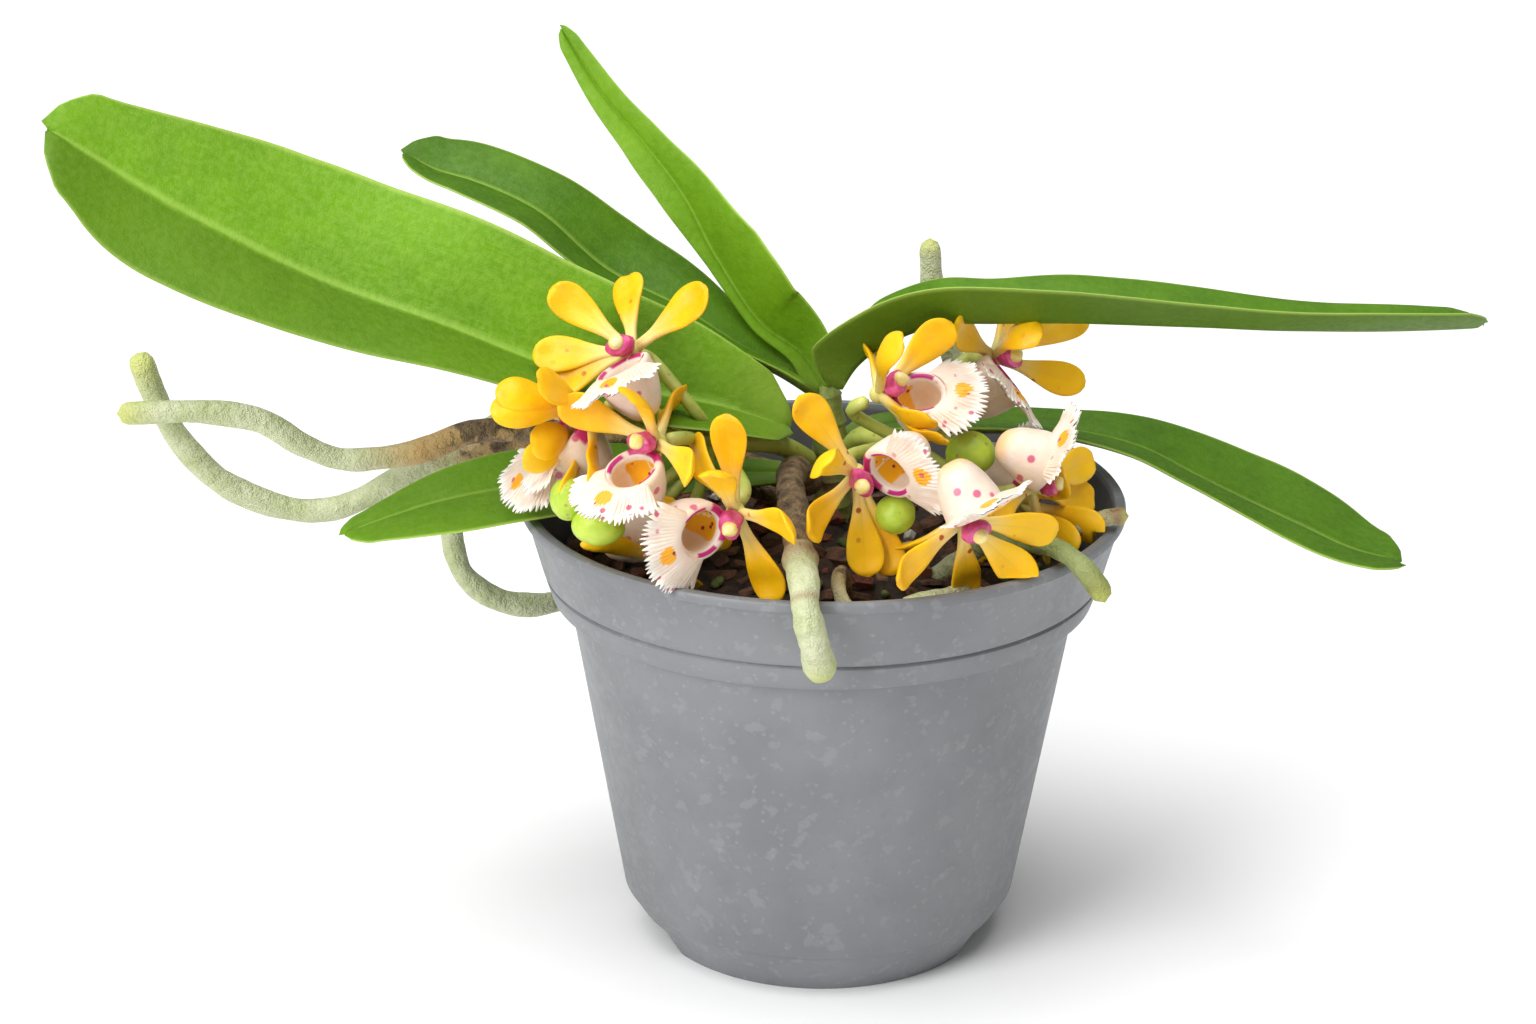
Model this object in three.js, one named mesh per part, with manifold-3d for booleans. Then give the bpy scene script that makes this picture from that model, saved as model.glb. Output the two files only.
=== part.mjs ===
// A small orchid in flower, standing in its plastic nursery pot.
// Millimetres, +Z up. The origin is the middle of the pot's underside, at table level.
// +X runs to the right along the longest leaves, and -Y is the side that the flowers face.

import * as THREE from "three";
import { mergeVertices } from "three/addons/utils/BufferGeometryUtils.js";
import Module from "manifold-3d";

const wasm = await Module();
wasm.setup();

// Pot
const POT_SEGMENTS = 30;
const RIM_RADIUS = 40;
const RIM_TOP = 61.6;
const LIP_BOTTOM = 60.2;
const LIP_OVERHANG = 0.6;
const COLLAR_BOTTOM = 48.7;
const COLLAR_RADIUS = 36.1;
const GROOVE_HEIGHT = 52;
const GROOVE_DEPTH = 0.45;
const BODY_TOP_RADIUS = 34;
const BODY_BOTTOM_RADIUS = 26.7;
const SEAM_HEIGHT = 6.5;
const FOOT_RADIUS = 22.9;
const WALL = 0.9;
const FLOOR_UNDERSIDE = 4.4;
const DISH_RADIUS = 9;
const DISH_SLOPE = 4;
const NOTCH_ANGLES = [-70, 70, 180];
const NOTCH_HEIGHT = 4;
const NOTCH_WIDTH = 12.5;
const NOTCH_LENGTH = 12;
const DRAIN_HOLES = 6;
const DRAIN_RADIUS = 2.2;
const DRAIN_CIRCLE = 18.5;

// Stem
const STEM_FOOT_RADIUS = 3.1;
const STEM_TOP_RADIUS = 2.2;

// Leaves
const LEAF_HALF_THICKNESS = 0.9;
const LOBE_UNEVEN = 0.2;
const LOBE_DEPTH = 0.08;
const TIP_BLUNTNESS = 0.02;
const LEAF_STATIONS = [0, 0.08, 0.16, 0.28, 0.4, 0.52, 0.64, 0.75, 0.84, 0.91, 0.96];

// Potting mix
const MIX_EDGE = 51.5;
const MIX_CROWN = 57;
const CHUNKS = 12;
const CHUNK_SEED = 7;

// Space kept between neighbouring pieces
const GAP = 0.33;

// Flower, in its own frame: x across, y forward, z up, away from the lip
const TEPAL_HALF_WIDTH = 2.35;
const TEPAL_ROOT_HALF_WIDTH = 0.75;
const TEPAL_HALF_THICKNESS = 0.52;
const TEPAL_ROOT = 0.8;
const TEPAL_WIDEST = 0.78;
const TEPAL_FOLD = 0.22;
const HUB_RADIUS = 1.25;
const POUCH_RADIUS = 4;
const POUCH_OPENING = 2.75;
const POUCH_DEPTH = 7.2;
const POUCH_WALL = 0.9;
const POUCH_SIDES = 7;
const MOUTH_PLACE = [0, 4.1, -3.2];
const MOUTH_TILT = 52.6;
const FAN_ROOT = 3.2;
const FAN_REACH = 8.7;
const FAN_HALF_WIDTH = 6.8;
const FAN_ROUNDNESS = 0.55;
const FAN_SPREAD = 78;
const FAN_NOTCH = 0.7;
const FAN_COLUMNS = 8;
const FAN_ROOT_THICKNESS = 1.5;
const FAN_EDGE_THICKNESS = 0.7;
const FAN_SINK = 0.55;
const FAN_DROOP = 0.4;
const COLUMN_RADIUS = 1.35;
const COLUMN_LENGTH = 2.2;
const ANTHER_RADIUS = 1.2;
const ANTHER_HEIGHT = 0.3;
const PEDUNCLE_RADIUS = 1.3;
const PEDICEL_RADIUS = 0.8;
const BEND_BEHIND = 4.5;

const radians = THREE.MathUtils.degToRad;
const mix = THREE.MathUtils.lerp;
const smooth = THREE.MathUtils.smoothstep;

function finish(colour, roughness) {
  return new THREE.MeshStandardMaterial({ color: colour, roughness, metalness: 0 });
}

const finishes = {
  pot: finish("#8e9296", 0.55),
  mix: finish("#3b2a20", 0.95),
  leaf: finish("#5f9a22", 0.4),
  root: finish("#c3cfa6", 0.7),
  stalk: finish("#a9b84a", 0.5),
  stem: finish("#7d8c3c", 0.7),
  tepal: finish("#f2b51d", 0.45),
  lip: finish("#f6e6da", 0.5),
  column: finish("#d6417f", 0.5),
};

// Solid bodies: merged, outward-facing meshes that can be joined and cut.
function solidOf(geometry) {
  const bare = geometry.clone();
  bare.deleteAttribute("normal");
  bare.deleteAttribute("uv");
  const merged = mergeVertices(bare, 1e-4);
  const place = merged.attributes.position;
  const index = [...merged.index.array];
  const triangles = [];
  let volume = 0;
  const [a, b, c] = [new THREE.Vector3(), new THREE.Vector3(), new THREE.Vector3()];
  for (let i = 0; i < index.length; i += 3) {
    const corners = index.slice(i, i + 3);
    if (new Set(corners).size < 3) continue;
    triangles.push(...corners);
    a.fromBufferAttribute(place, corners[0]);
    b.fromBufferAttribute(place, corners[1]);
    c.fromBufferAttribute(place, corners[2]);
    volume += a.dot(b.cross(c));
  }
  const triVerts = Uint32Array.from(volume < 0 ? triangles.reverse() : triangles);
  const vertProperties = Float32Array.from(place.array);
  return new wasm.Manifold(new wasm.Mesh({ numProp: 3, vertProperties, triVerts }));
}

function geometryOf(solid) {
  const mesh = solid.getMesh();
  const geometry = new THREE.BufferGeometry();
  geometry.setAttribute("position", new THREE.BufferAttribute(mesh.vertProperties, 3));
  geometry.setIndex(new THREE.BufferAttribute(mesh.triVerts, 1));
  geometry.computeVertexNormals();
  return geometry;
}

function joined(geometries) {
  return geometries.map(solidOf).reduce((whole, piece) => whole.add(piece));
}

// The same body, larger all over by the gap, so that a neighbour can be cut clear of it.
function grown(solid) {
  const geometry = geometryOf(solid);
  const place = geometry.attributes.position;
  const normal = geometry.attributes.normal;
  for (let i = 0; i < place.count; i += 1) {
    place.setXYZ(
      i,
      place.getX(i) + GAP * normal.getX(i),
      place.getY(i) + GAP * normal.getY(i),
      place.getZ(i) + GAP * normal.getZ(i),
    );
  }
  return solidOf(geometry);
}

function boxesMeet(one, other) {
  const [a, b] = [one.boundingBox(), other.boundingBox()];
  return [0, 1, 2].every((k) => a.min[k] < b.max[k] && b.min[k] < a.max[k]);
}

function largestPiece(solid) {
  return solid.decompose().reduce((best, piece) => (piece.volume() > best.volume() ? piece : best));
}

// Lofts: a cylinder whose rings are carried along a curve.
// section(t) gives the ring's half width, half thickness, the fold of its two halves, how far
// its middle falls behind its sides, and how much wider its first half is than its second.
function lofted(route, face, section, sides, steps, crowd = 1) {
  const curve = new THREE.CatmullRomCurve3(route.map((point) => new THREE.Vector3(...point)));
  const geometry = new THREE.CylinderGeometry(1, 1, 1, sides, steps);
  const place = geometry.attributes.position;
  const facing = new THREE.Vector3(...face);
  const point = new THREE.Vector3();
  for (let i = 0; i < place.count; i += 1) {
    const t = 1 - (0.5 - place.getY(i)) ** crowd;
    const across = place.getX(i);
    const out = place.getZ(i);
    const along = curve.getTangentAt(t);
    const side = along.clone().cross(facing).normalize();
    const normal = side.clone().cross(along);
    const { wide, thick, fold = 0, lobe = 0, lean = 0 } = section(t);
    curve.getPointAt(t, point);
    const half = across > 0 ? wide * (1 + lean) : wide;
    point.addScaledVector(side, across * half);
    point.addScaledVector(normal, out * thick + Math.abs(across) * half * fold);
    point.addScaledVector(along, lobe * Math.abs(across) * (across > 0 ? 1 : LOBE_UNEVEN));
    place.setXYZ(i, point.x, point.y, point.z);
  }
  return geometry;
}

function tube(route, radiusAt, sides, steps) {
  const [first, last] = [route[0], route[route.length - 1]];
  const run = new THREE.Vector3(...last).sub(new THREE.Vector3(...first)).normalize();
  const face = Math.abs(run.z) < 0.8 ? [0, 0, 1] : [0, 1, 0];
  const section = (t) => ({ wide: radiusAt(t), thick: radiusAt(t) });
  return lofted(route, face, section, sides, steps);
}

// Pot
function potProfile() {
  const lipInner = RIM_RADIUS - WALL - LIP_OVERHANG;
  const between = (z, low, high) => (z - low) / (high - low);
  const wallAt = (z) => mix(BODY_BOTTOM_RADIUS, BODY_TOP_RADIUS, between(z, SEAM_HEIGHT, COLLAR_BOTTOM));
  const collarTop = RIM_RADIUS - LIP_OVERHANG;
  const collarAt = (z) => mix(COLLAR_RADIUS, collarTop, between(z, COLLAR_BOTTOM, LIP_BOTTOM));
  const footTop = BODY_BOTTOM_RADIUS - GROOVE_DEPTH;
  const footInnerTop = mix(FOOT_RADIUS, footTop, FLOOR_UNDERSIDE / SEAM_HEIGHT) - WALL;
  const floorTop = FLOOR_UNDERSIDE + WALL;
  const ledge = COLLAR_BOTTOM - WALL;
  const outside = [
    [0, 0],
    [DISH_RADIUS, 0],
    [DISH_RADIUS + DISH_SLOPE, FLOOR_UNDERSIDE],
    [footInnerTop, FLOOR_UNDERSIDE],
    [FOOT_RADIUS - WALL, 0],
    [FOOT_RADIUS, 0],
    [footTop, SEAM_HEIGHT - 0.3],
    [BODY_BOTTOM_RADIUS, SEAM_HEIGHT],
    [wallAt(COLLAR_BOTTOM) - 0.1, COLLAR_BOTTOM],
    [COLLAR_RADIUS, COLLAR_BOTTOM],
    [collarAt(GROOVE_HEIGHT - 0.5), GROOVE_HEIGHT - 0.5],
    [collarAt(GROOVE_HEIGHT) - GROOVE_DEPTH, GROOVE_HEIGHT],
    [collarAt(GROOVE_HEIGHT + 0.5), GROOVE_HEIGHT + 0.5],
    [collarAt(LIP_BOTTOM), LIP_BOTTOM],
    [RIM_RADIUS, LIP_BOTTOM + 0.3],
    [RIM_RADIUS - 0.2, RIM_TOP - 0.2],
  ];
  const inside = [
    [RIM_RADIUS - 0.6, RIM_TOP],
    [lipInner, RIM_TOP - 0.1],
    [COLLAR_RADIUS - WALL, COLLAR_BOTTOM + 0.2],
    [wallAt(ledge) - WALL, ledge],
    [wallAt(floorTop + WALL) - WALL, floorTop + WALL],
    [wallAt(floorTop) - 2 * WALL, floorTop],
    [DISH_RADIUS + DISH_SLOPE - 0.4, floorTop],
    [DISH_RADIUS - 0.4, WALL],
    [0, WALL],
  ];
  return [...outside, ...inside].map(([r, z]) => new THREE.Vector2(r, z));
}

function turned(profile, segments) {
  return new THREE.LatheGeometry(profile, segments).rotateX(Math.PI / 2);
}

function pot() {
  let body = solidOf(turned(potProfile(), POT_SEGMENTS));
  for (const fromFront of NOTCH_ANGLES) {
    const angle = radians(fromFront - 90);
    const notch = new THREE.BoxGeometry(NOTCH_LENGTH, NOTCH_WIDTH, 2 * NOTCH_HEIGHT);
    notch.translate(FOOT_RADIUS + 2, 0, 0).rotateZ(angle);
    body = body.subtract(solidOf(notch));
  }
  for (let k = 0; k < DRAIN_HOLES; k += 1) {
    const angle = (2 * Math.PI * k) / DRAIN_HOLES;
    const hole = new THREE.CylinderGeometry(DRAIN_RADIUS, DRAIN_RADIUS, 4, 6).rotateX(Math.PI / 2);
    hole.translate(DRAIN_CIRCLE * Math.cos(angle), DRAIN_CIRCLE * Math.sin(angle), FLOOR_UNDERSIDE);
    body = body.subtract(solidOf(hole));
  }
  return body;
}

// Potting mix: a filled core with a low mound, and chunks of bark and gravel half sunk in its top.
function seeded(seed) {
  let state = seed;
  return () => {
    state = (state * 16807) % 2147483647;
    return state / 2147483647;
  };
}

function mixTop(x, y) {
  const mound = 1 - Math.hypot(x, y) / RIM_RADIUS;
  const ripple = 0.5 * Math.sin(x * 0.9 + 1) * Math.cos(y * 0.8);
  return mix(MIX_EDGE, MIX_CROWN, mound) + ripple;
}

function pottingMix() {
  const clear = WALL + GAP;
  const floorTop = FLOOR_UNDERSIDE + WALL + GAP;
  const ledge = COLLAR_BOTTOM - WALL;
  const shell = [
    [0, WALL + GAP],
    [DISH_RADIUS - 1, WALL + GAP],
    [DISH_RADIUS + DISH_SLOPE - 0.9, floorTop],
    [BODY_BOTTOM_RADIUS - 2 * clear, floorTop],
    [BODY_BOTTOM_RADIUS - clear + 0.1, floorTop + WALL + 0.5],
    [BODY_TOP_RADIUS - clear - 0.3, ledge + 0.2],
    [COLLAR_RADIUS - clear - 0.1, COLLAR_BOTTOM + 0.7],
    [COLLAR_RADIUS - clear + 0.6, MIX_EDGE],
    [28, MIX_EDGE],
    [15, MIX_EDGE],
    [0, MIX_EDGE],
  ];
  const core = turned(shell.map(([r, z]) => new THREE.Vector2(r, z)), 16);
  const place = core.attributes.position;
  for (let i = 0; i < place.count; i += 1) {
    if (place.getZ(i) < MIX_EDGE - 0.01) continue;
    place.setZ(i, mixTop(place.getX(i), place.getY(i)));
  }
  const random = seeded(CHUNK_SEED);
  const chunks = [];
  for (let k = 0; k < CHUNKS; k += 1) {
    const radius = 32 * Math.sqrt((k + 0.5) / CHUNKS);
    const angle = k * 2.4;
    const [x, y] = [radius * Math.cos(angle), radius * Math.sin(angle)];
    const size = 1.6 + 1.8 * random();
    const bark = new THREE.BoxGeometry(2.6 * size, 1.7 * size, size);
    const gravel = new THREE.IcosahedronGeometry(size).scale(1.2, 0.9, 0.8);
    const chunk = k % 2 === 0 ? bark : gravel;
    chunk.rotateX(random() - 0.5).rotateY(random() - 0.5).rotateZ(6 * random());
    chunk.translate(x, y, mixTop(x, y) + 0.25 * size);
    chunks.push(chunk);
  }
  return joined([core, ...chunks]);
}

// Stem, with the rings that fallen leaves left
function plantStem() {
  const route = [[2, 6, 40], [1.5, 5, 54], [1, 3.5, 66], [0, 3, 76]];
  const ringed = (t) => mix(STEM_FOOT_RADIUS, STEM_TOP_RADIUS, t) * (1 + 0.12 * Math.sin(30 * t));
  return solidOf(tube(route, ringed, 8, 12));
}

// Leaves: thick blades, folded along the midrib, with two uneven lobes at the tip
function widthAt(widths, t) {
  const last = LEAF_STATIONS.length - 1;
  const tip = LEAF_STATIONS[last];
  if (t > tip) return widths[last] * Math.sqrt(Math.max(TIP_BLUNTNESS, (1 - t) / (1 - tip)));
  const k = Math.max(1, LEAF_STATIONS.findIndex((station) => station >= t));
  const share = (t - LEAF_STATIONS[k - 1]) / (LEAF_STATIONS[k] - LEAF_STATIONS[k - 1]);
  return mix(widths[k - 1], widths[k], share);
}

// The widths of the two halves are given at the stations, from the foot to the tip.
function leafSection(first, second, [foldRoot, foldTip]) {
  const widest = Math.max(...first, ...second);
  return (t) => {
    const wide = widthAt(second, t);
    return {
      wide,
      lean: widthAt(first, t) / wide - 1,
      thick: LEAF_HALF_THICKNESS * mix(1, 0.6, t),
      fold: mix(foldRoot, foldTip, smooth(t, 0, 0.9)),
      lobe: widest * LOBE_DEPTH * smooth(t, 0.86, 1),
    };
  };
}

const leaves = {
  leaf_long_left: {
    route: [[-4.5, -4.5, 72], [-13.7, -7, 75.8], [-24.6, -9, 78.7], [-37.1, -10.5, 82.9],
      [-49.9, -12, 88.7], [-65.2, -13.5, 95.1], [-79, -15, 103], [-89.7, -16, 110], [-95.7, -17, 114.2]],
    face: [0, -0.54, 0.84],
    section: leafSection(
      [4, 5.9, 9, 11.1, 12.9, 14.3, 15.2, 14.4, 12.1, 9.7, 7.6],
      [5, 9.5, 11, 9.4, 9.4, 11.3, 12, 13.1, 12.8, 10.9, 7.6],
      [0.8, 0.15],
    ),
  },
  leaf_long_right: {
    route: [[1.5, 0.5, 76], [4.1, -1.5, 80.9], [7.9, -3, 84.2], [14.5, -5, 87.3], [22, -6, 88],
      [35, -6, 88], [48, -5, 87.3], [61, -3, 86.2], [74.5, -1, 85.3], [85.8, 1, 85.5]],
    face: [0, 0.18, 1],
    section: leafSection(
      [4.1, 4.4, 4.9, 5.8, 5.1, 3.9, 3.4, 3.2, 3.7, 3.8, 3.3],
      [5, 6.5, 6.2, 5.4, 6.4, 6.6, 5.5, 4.5, 4.4, 3.9, 3],
      [0.9, 0.6],
    ),
  },
  leaf_upright: {
    route: [[0.3, 3.2, 75], [-2.6, 3.8, 79.5], [-8.2, 5, 83.4], [-14.3, 7.5, 91.9], [-18.4, 10, 99.1],
      [-23.4, 13, 105.1], [-29.3, 16.5, 111.2], [-35, 20, 119.3]],
    face: [-0.35, -0.85, 0.4],
    section: leafSection(
      [2.2, 4.5, 6.6, 8, 7.4, 4.8, 3.2, 2.6, 2.5, 2.1, 1.5],
      [2.2, 1.9, 1.4, 1.2, 1.6, 3, 3.1, 2.4, 1.9, 1.6, 1.4],
      [0.85, 0.5],
    ),
  },
  leaf_arched_left: {
    route: [[-0.8, 2.8, 74.5], [-5, 3, 77.2], [-11.6, 3.5, 80.6], [-19.3, 5, 85.4], [-29.1, 7, 90.1],
      [-37.6, 9, 96.8], [-46.5, 11, 100.6], [-51.7, 12, 102.1], [-55.6, 13, 104.1]],
    face: [0.15, -0.25, 0.95],
    section: leafSection(
      [1.4, 2, 3.5, 5, 6.9, 8, 7.4, 6.8, 6.7, 6.4, 5],
      [3, 4, 5, 5.8, 6.6, 7.4, 8.4, 8.8, 7.8, 6, 3.5],
      [0.65, 0.35],
    ),
  },
  leaf_low_right: {
    route: [[1.8, 4, 67], [7.3, 6, 68.4], [17.2, 8, 68.3], [31.9, 9, 67.3], [42.2, 8, 65.3],
      [50.1, 6, 62], [56.9, 4, 59.3], [63.7, 1.5, 56.7], [70, -1, 54.6], [76.4, -3.5, 53.9]],
    face: [0.1, -0.1, 0.99],
    section: leafSection(
      [2.5, 3, 4, 5, 6, 6, 4.8, 5.6, 6.8, 5.9, 5],
      [2.2, 2.4, 3, 3.9, 4.6, 7.2, 11, 12.3, 11.1, 8.8, 5.8],
      [0.45, 0.12],
    ),
  },
  leaf_low_left: {
    route: [[-3, 2.5, 63], [-14, 2, 63.3], [-27.5, -1, 63.6], [-38.5, -5, 63.8], [-48.5, -8, 63],
      [-56, -10, 61.5], [-62, -12, 60]],
    face: [-0.1, -0.25, 0.96],
    section: leafSection(
      [2, 2.4, 3.4, 5, 6.8, 7.6, 7.8, 7.1, 5.5, 3.8, 2.6],
      [2, 4.5, 6.5, 8.5, 10, 10.3, 9.8, 9.1, 7.2, 5.7, 4],
      [0.4, 0.08],
    ),
  },
};

function leaf({ route, face, section }) {
  return solidOf(lofted(route, face, section, 8, 12, 1.25));
}

// Aerial roots: blunt-ended, a little knobbly
const roots = {
  root_upper_left: {
    route: [[-4, 4, 62], [-16.5, 6, 65.5], [-30, 8, 67], [-40, 9, 67], [-47.5, 8, 67], [-52.5, 6, 65.5],
      [-58, 5, 64.5], [-64.5, 4, 64.5], [-69.5, 3, 67], [-74.5, 2, 70.5], [-82, 1, 72], [-93, 0, 72]],
    radius: 1.6,
    steps: 17,
  },
  root_lower_left: {
    route: [[-4, 9, 57], [-16.5, 10, 62], [-30, 12, 64.6], [-40.5, 13, 64.2], [-48, 13, 62],
      [-54, 12, 61], [-59.5, 11, 58], [-65.5, 10, 55.5], [-71, 10, 55], [-79, 9, 58], [-84, 8, 62.5],
      [-88, 8, 68.5], [-91, 6, 78.5]],
    radius: 1.7,
    steps: 19,
  },
  root_hanging_left: {
    route: [[-23, 15, 51], [-28, 16.5, 60], [-34.5, 18, 65.2], [-40, 18.5, 66.2], [-45.5, 17.5, 64.5],
      [-50, 16.5, 58], [-51, 15.5, 51], [-49.5, 15, 44], [-45, 16, 39.8], [-39, 18.5, 38], [-31, 24, 39]],
    radius: 1.6,
    steps: 15,
  },
  root_upright: {
    route: [[16, 15, 50], [18.5, 16, 60], [19, 17, 67], [18, 17, 74], [16, 16, 80], [14.5, 15, 86],
      [14, 15, 92.5]],
    radius: 1.5,
    steps: 9,
  },
  root_over_front: {
    route: [[-1.5, -1, 63], [-4, -8, 67.5], [-4.5, -15, 68], [-4, -24, 67], [-3.5, -32, 65.6],
      [-3, -38.5, 64.4], [-2.5, -42.8, 61.5], [-1.5, -43.8, 57.5], [-0.5, -43.2, 53]],
    radius: 1.9,
    steps: 12,
  },
  root_over_right: {
    route: [[14, -10, 53], [20.5, -15, 60], [24.5, -20, 62.4], [28, -25, 63.8], [31, -28.5, 63.2],
      [33.5, -31, 60.8], [34.5, -32, 59]],
    radius: 1.35,
    steps: 8,
  },
  root_stub_right: {
    route: [[24, -9, 54], [29, -11, 59], [33.5, -13, 62], [36.5, -13.5, 63.4], [39, -14, 63.8]],
    radius: 1.15,
    steps: 6,
  },
  root_dry_front: {
    route: [[3, -20, 54], [2, -26, 60.5], [1.5, -31, 60.5], [2.5, -34, 59], [6.5, -34.5, 57.5]],
    radius: 0.9,
    steps: 7,
  },
  root_pale_front: {
    route: [[9, -33.5, 58.8], [13, -32.5, 59.4], [17, -29.5, 59], [20, -25, 56.5], [21, -21, 52]],
    radius: 1.2,
    steps: 7,
  },
};

function root({ route, radius, steps }) {
  const swell = (t) => {
    const knobs = 1 + 0.06 * Math.sin(23 * t + radius * 9) + 0.04 * Math.sin(61 * t);
    return radius * knobs * Math.sqrt(Math.max(0.16, 1 - smooth(t, 0.94, 1)));
  };
  return solidOf(tube(route, swell, 6, steps));
}

// Flowers. facing is the way the flower looks: azimuth (0 towards -Y, positive to +X),
// elevation, and the roll of its top. Each tepal has an angle from the top,
// a lift forward and a length.
const flowers = [
  {
    name: "flower_1",
    place: [-24.4, -17, 86.4],
    facing: [-32, 28, 32],
    tepals: [[33, 15, 13.4], [0, -22, 12.5], [-76, 3, 13.2], [73, 12, 13.1], [93, 6, 12.9]],
    via: [[-16.5, -17, 78.5]],
  },
  {
    name: "flower_2",
    place: [-30.9, -13.5, 74.9],
    facing: [-70, -2, -13],
    tepals: [[-63, 41, 13.2], [-78, 47, 13.2], [99, -3, 13], [-104, 27, 13.1], [87, -19, 13]],
  },
  {
    name: "flower_3",
    place: [-29.7, -18.6, 79.2],
    facing: [-95, -11, -10],
    tepals: [[-40, 40, 13.8], [-53, 44, 14.2], [-41, 14, 12.9], [-113, -6, 13.1], [115, -18, 13]],
  },
  {
    name: "flower_4",
    place: [-21, -27, 78],
    facing: [-39, 10, -3],
    tepals: [[80, 22, 13.4], [-16, 49, 12.9], [-93, 26, 12.9], [159, -32, 12.8], [59, -59, 13]],
  },
  {
    name: "flower_5",
    place: [-11.3, -30.5, 70.2],
    facing: [-14, -15, -77],
    tepals: [[79, -6, 13.5], [79, 32, 13], [5, 34, 12.8], [-78, 10, 12.8], [143, -50, 12.7]],
  },
  {
    name: "flower_6",
    place: [-19.6, -18.9, 59.1],
    facing: [168, 31, 106],
    tepals: [[-155, -21, 13.2], [99, -4, 13.1], [67, 14, 12.9], [-65, -14, 12.9], [-104, -2, 13]],
  },
  {
    name: "flower_7",
    place: [3.6, -26.3, 73.8],
    facing: [13, -4, 114],
    tepals: [[-79, 0, 13.5], [-62, 42, 13], [3, 40, 12.7], [70, 16, 13.1], [85, 12, 13.9]],
  },
  {
    name: "flower_8",
    place: [6.6, -13.7, 79.9],
    facing: [64, 36, 38],
    tepals: [[15, 49, 13.1], [-110, 44, 13.4], [91, 39, 13], [110, 33, 13.5], [-103, -18, 12.9]],
  },
  {
    name: "flower_9",
    place: [22, 1, 80.3],
    facing: [44, 14, -50],
    tepals: [[108, 17, 12.9], [-12, -27, 12.8], [92, 63, 13.1], [-25, 26, 14.1], [-70, 23, 13.3]],
  },
  {
    name: "flower_10",
    place: [26, -15.6, 68.3],
    facing: [66, 19, -149],
    tepals: [[54, 16, 13.2], [43, -9, 12.8], [-6, -14, 12.9], [31, 9, 13.3], [-121, -5, 13]],
  },
  {
    name: "flower_11",
    place: [16.5, -32.7, 70.1],
    facing: [31, -10, -161],
    tepals: [[-85, 12, 12.7], [-6, -5, 12.7], [27, 18, 13.1], [59, 11, 13.2], [-31, -48, 12.9]],
  },
  {
    name: "flower_12",
    place: [25.5, -8, 63.5],
    facing: [150, -6, 125],
    tepals: [[-28, -6, 12.8], [-17, -27, 12.4], [-69, -32, 12.7], [96, 2, 12.8], [156, -9, 11.9]],
  },
];

function flowerFrame({ place, facing }) {
  const [azimuth, elevation, roll] = facing.map(radians);
  const forward = new THREE.Vector3(
    Math.cos(elevation) * Math.sin(azimuth),
    -Math.cos(elevation) * Math.cos(azimuth),
    Math.sin(elevation),
  );
  const level = new THREE.Vector3(0, 0, 1).addScaledVector(forward, -forward.z).normalize();
  const across = forward.clone().cross(level);
  const up = level.multiplyScalar(Math.cos(roll)).addScaledVector(across, Math.sin(roll));
  const side = forward.clone().cross(up);
  return new THREE.Matrix4().makeBasis(side, forward, up).setPosition(...place);
}

function tepal([angle, lift, length]) {
  const [turn, rise] = [radians(angle), radians(lift)];
  const at = (reach, bend) => [
    reach * Math.sin(turn) * Math.cos(rise * bend),
    reach * Math.sin(rise * bend),
    reach * Math.cos(turn) * Math.cos(rise * bend),
  ];
  const route = [
    at(TEPAL_ROOT, 1),
    at(0.35 * length, 0.9),
    at(0.7 * length, 0.9),
    at(length, 1.05),
  ];
  const face = [-Math.sin(turn) * Math.sin(rise), Math.cos(rise), -Math.cos(turn) * Math.sin(rise)];
  const section = (t) => {
    const widening = mix(TEPAL_ROOT_HALF_WIDTH, TEPAL_HALF_WIDTH, smooth(t, 0.2, TEPAL_WIDEST));
    const rounding = Math.sqrt(Math.max(0.12, 1 - ((t - TEPAL_WIDEST) / (1.015 - TEPAL_WIDEST)) ** 2));
    return {
      wide: t < TEPAL_WIDEST ? widening : TEPAL_HALF_WIDTH * rounding,
      thick: TEPAL_HALF_THICKNESS * mix(1.35, 0.95, t),
      fold: TEPAL_FOLD,
    };
  };
  return lofted(route, face, section, 4, 4, 1.15);
}

function tepalsOf(flower) {
  const hub = new THREE.IcosahedronGeometry(HUB_RADIUS);
  const pieces = [hub, ...flower.tepals.map(tepal)];
  return joined(pieces.map((piece) => piece.applyMatrix4(flowerFrame(flower))));
}

function pouch() {
  const profile = [
    [0, -POUCH_DEPTH],
    [0.45 * POUCH_RADIUS, 0.5 - POUCH_DEPTH],
    [0.8 * POUCH_RADIUS, -0.6 * POUCH_DEPTH],
    [0.97 * POUCH_RADIUS, -0.22 * POUCH_DEPTH],
    [POUCH_RADIUS, -0.2],
    [POUCH_OPENING, 0],
    [0.8 * POUCH_RADIUS - POUCH_WALL, -0.5 * POUCH_DEPTH],
    [0, 1.3 * POUCH_WALL - POUCH_DEPTH],
  ].map(([r, h]) => new THREE.Vector2(r, h));
  const cup = new THREE.LatheGeometry(profile, POUCH_SIDES);
  return cup.rotateX(radians(MOUTH_TILT)).translate(...MOUTH_PLACE);
}

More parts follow.
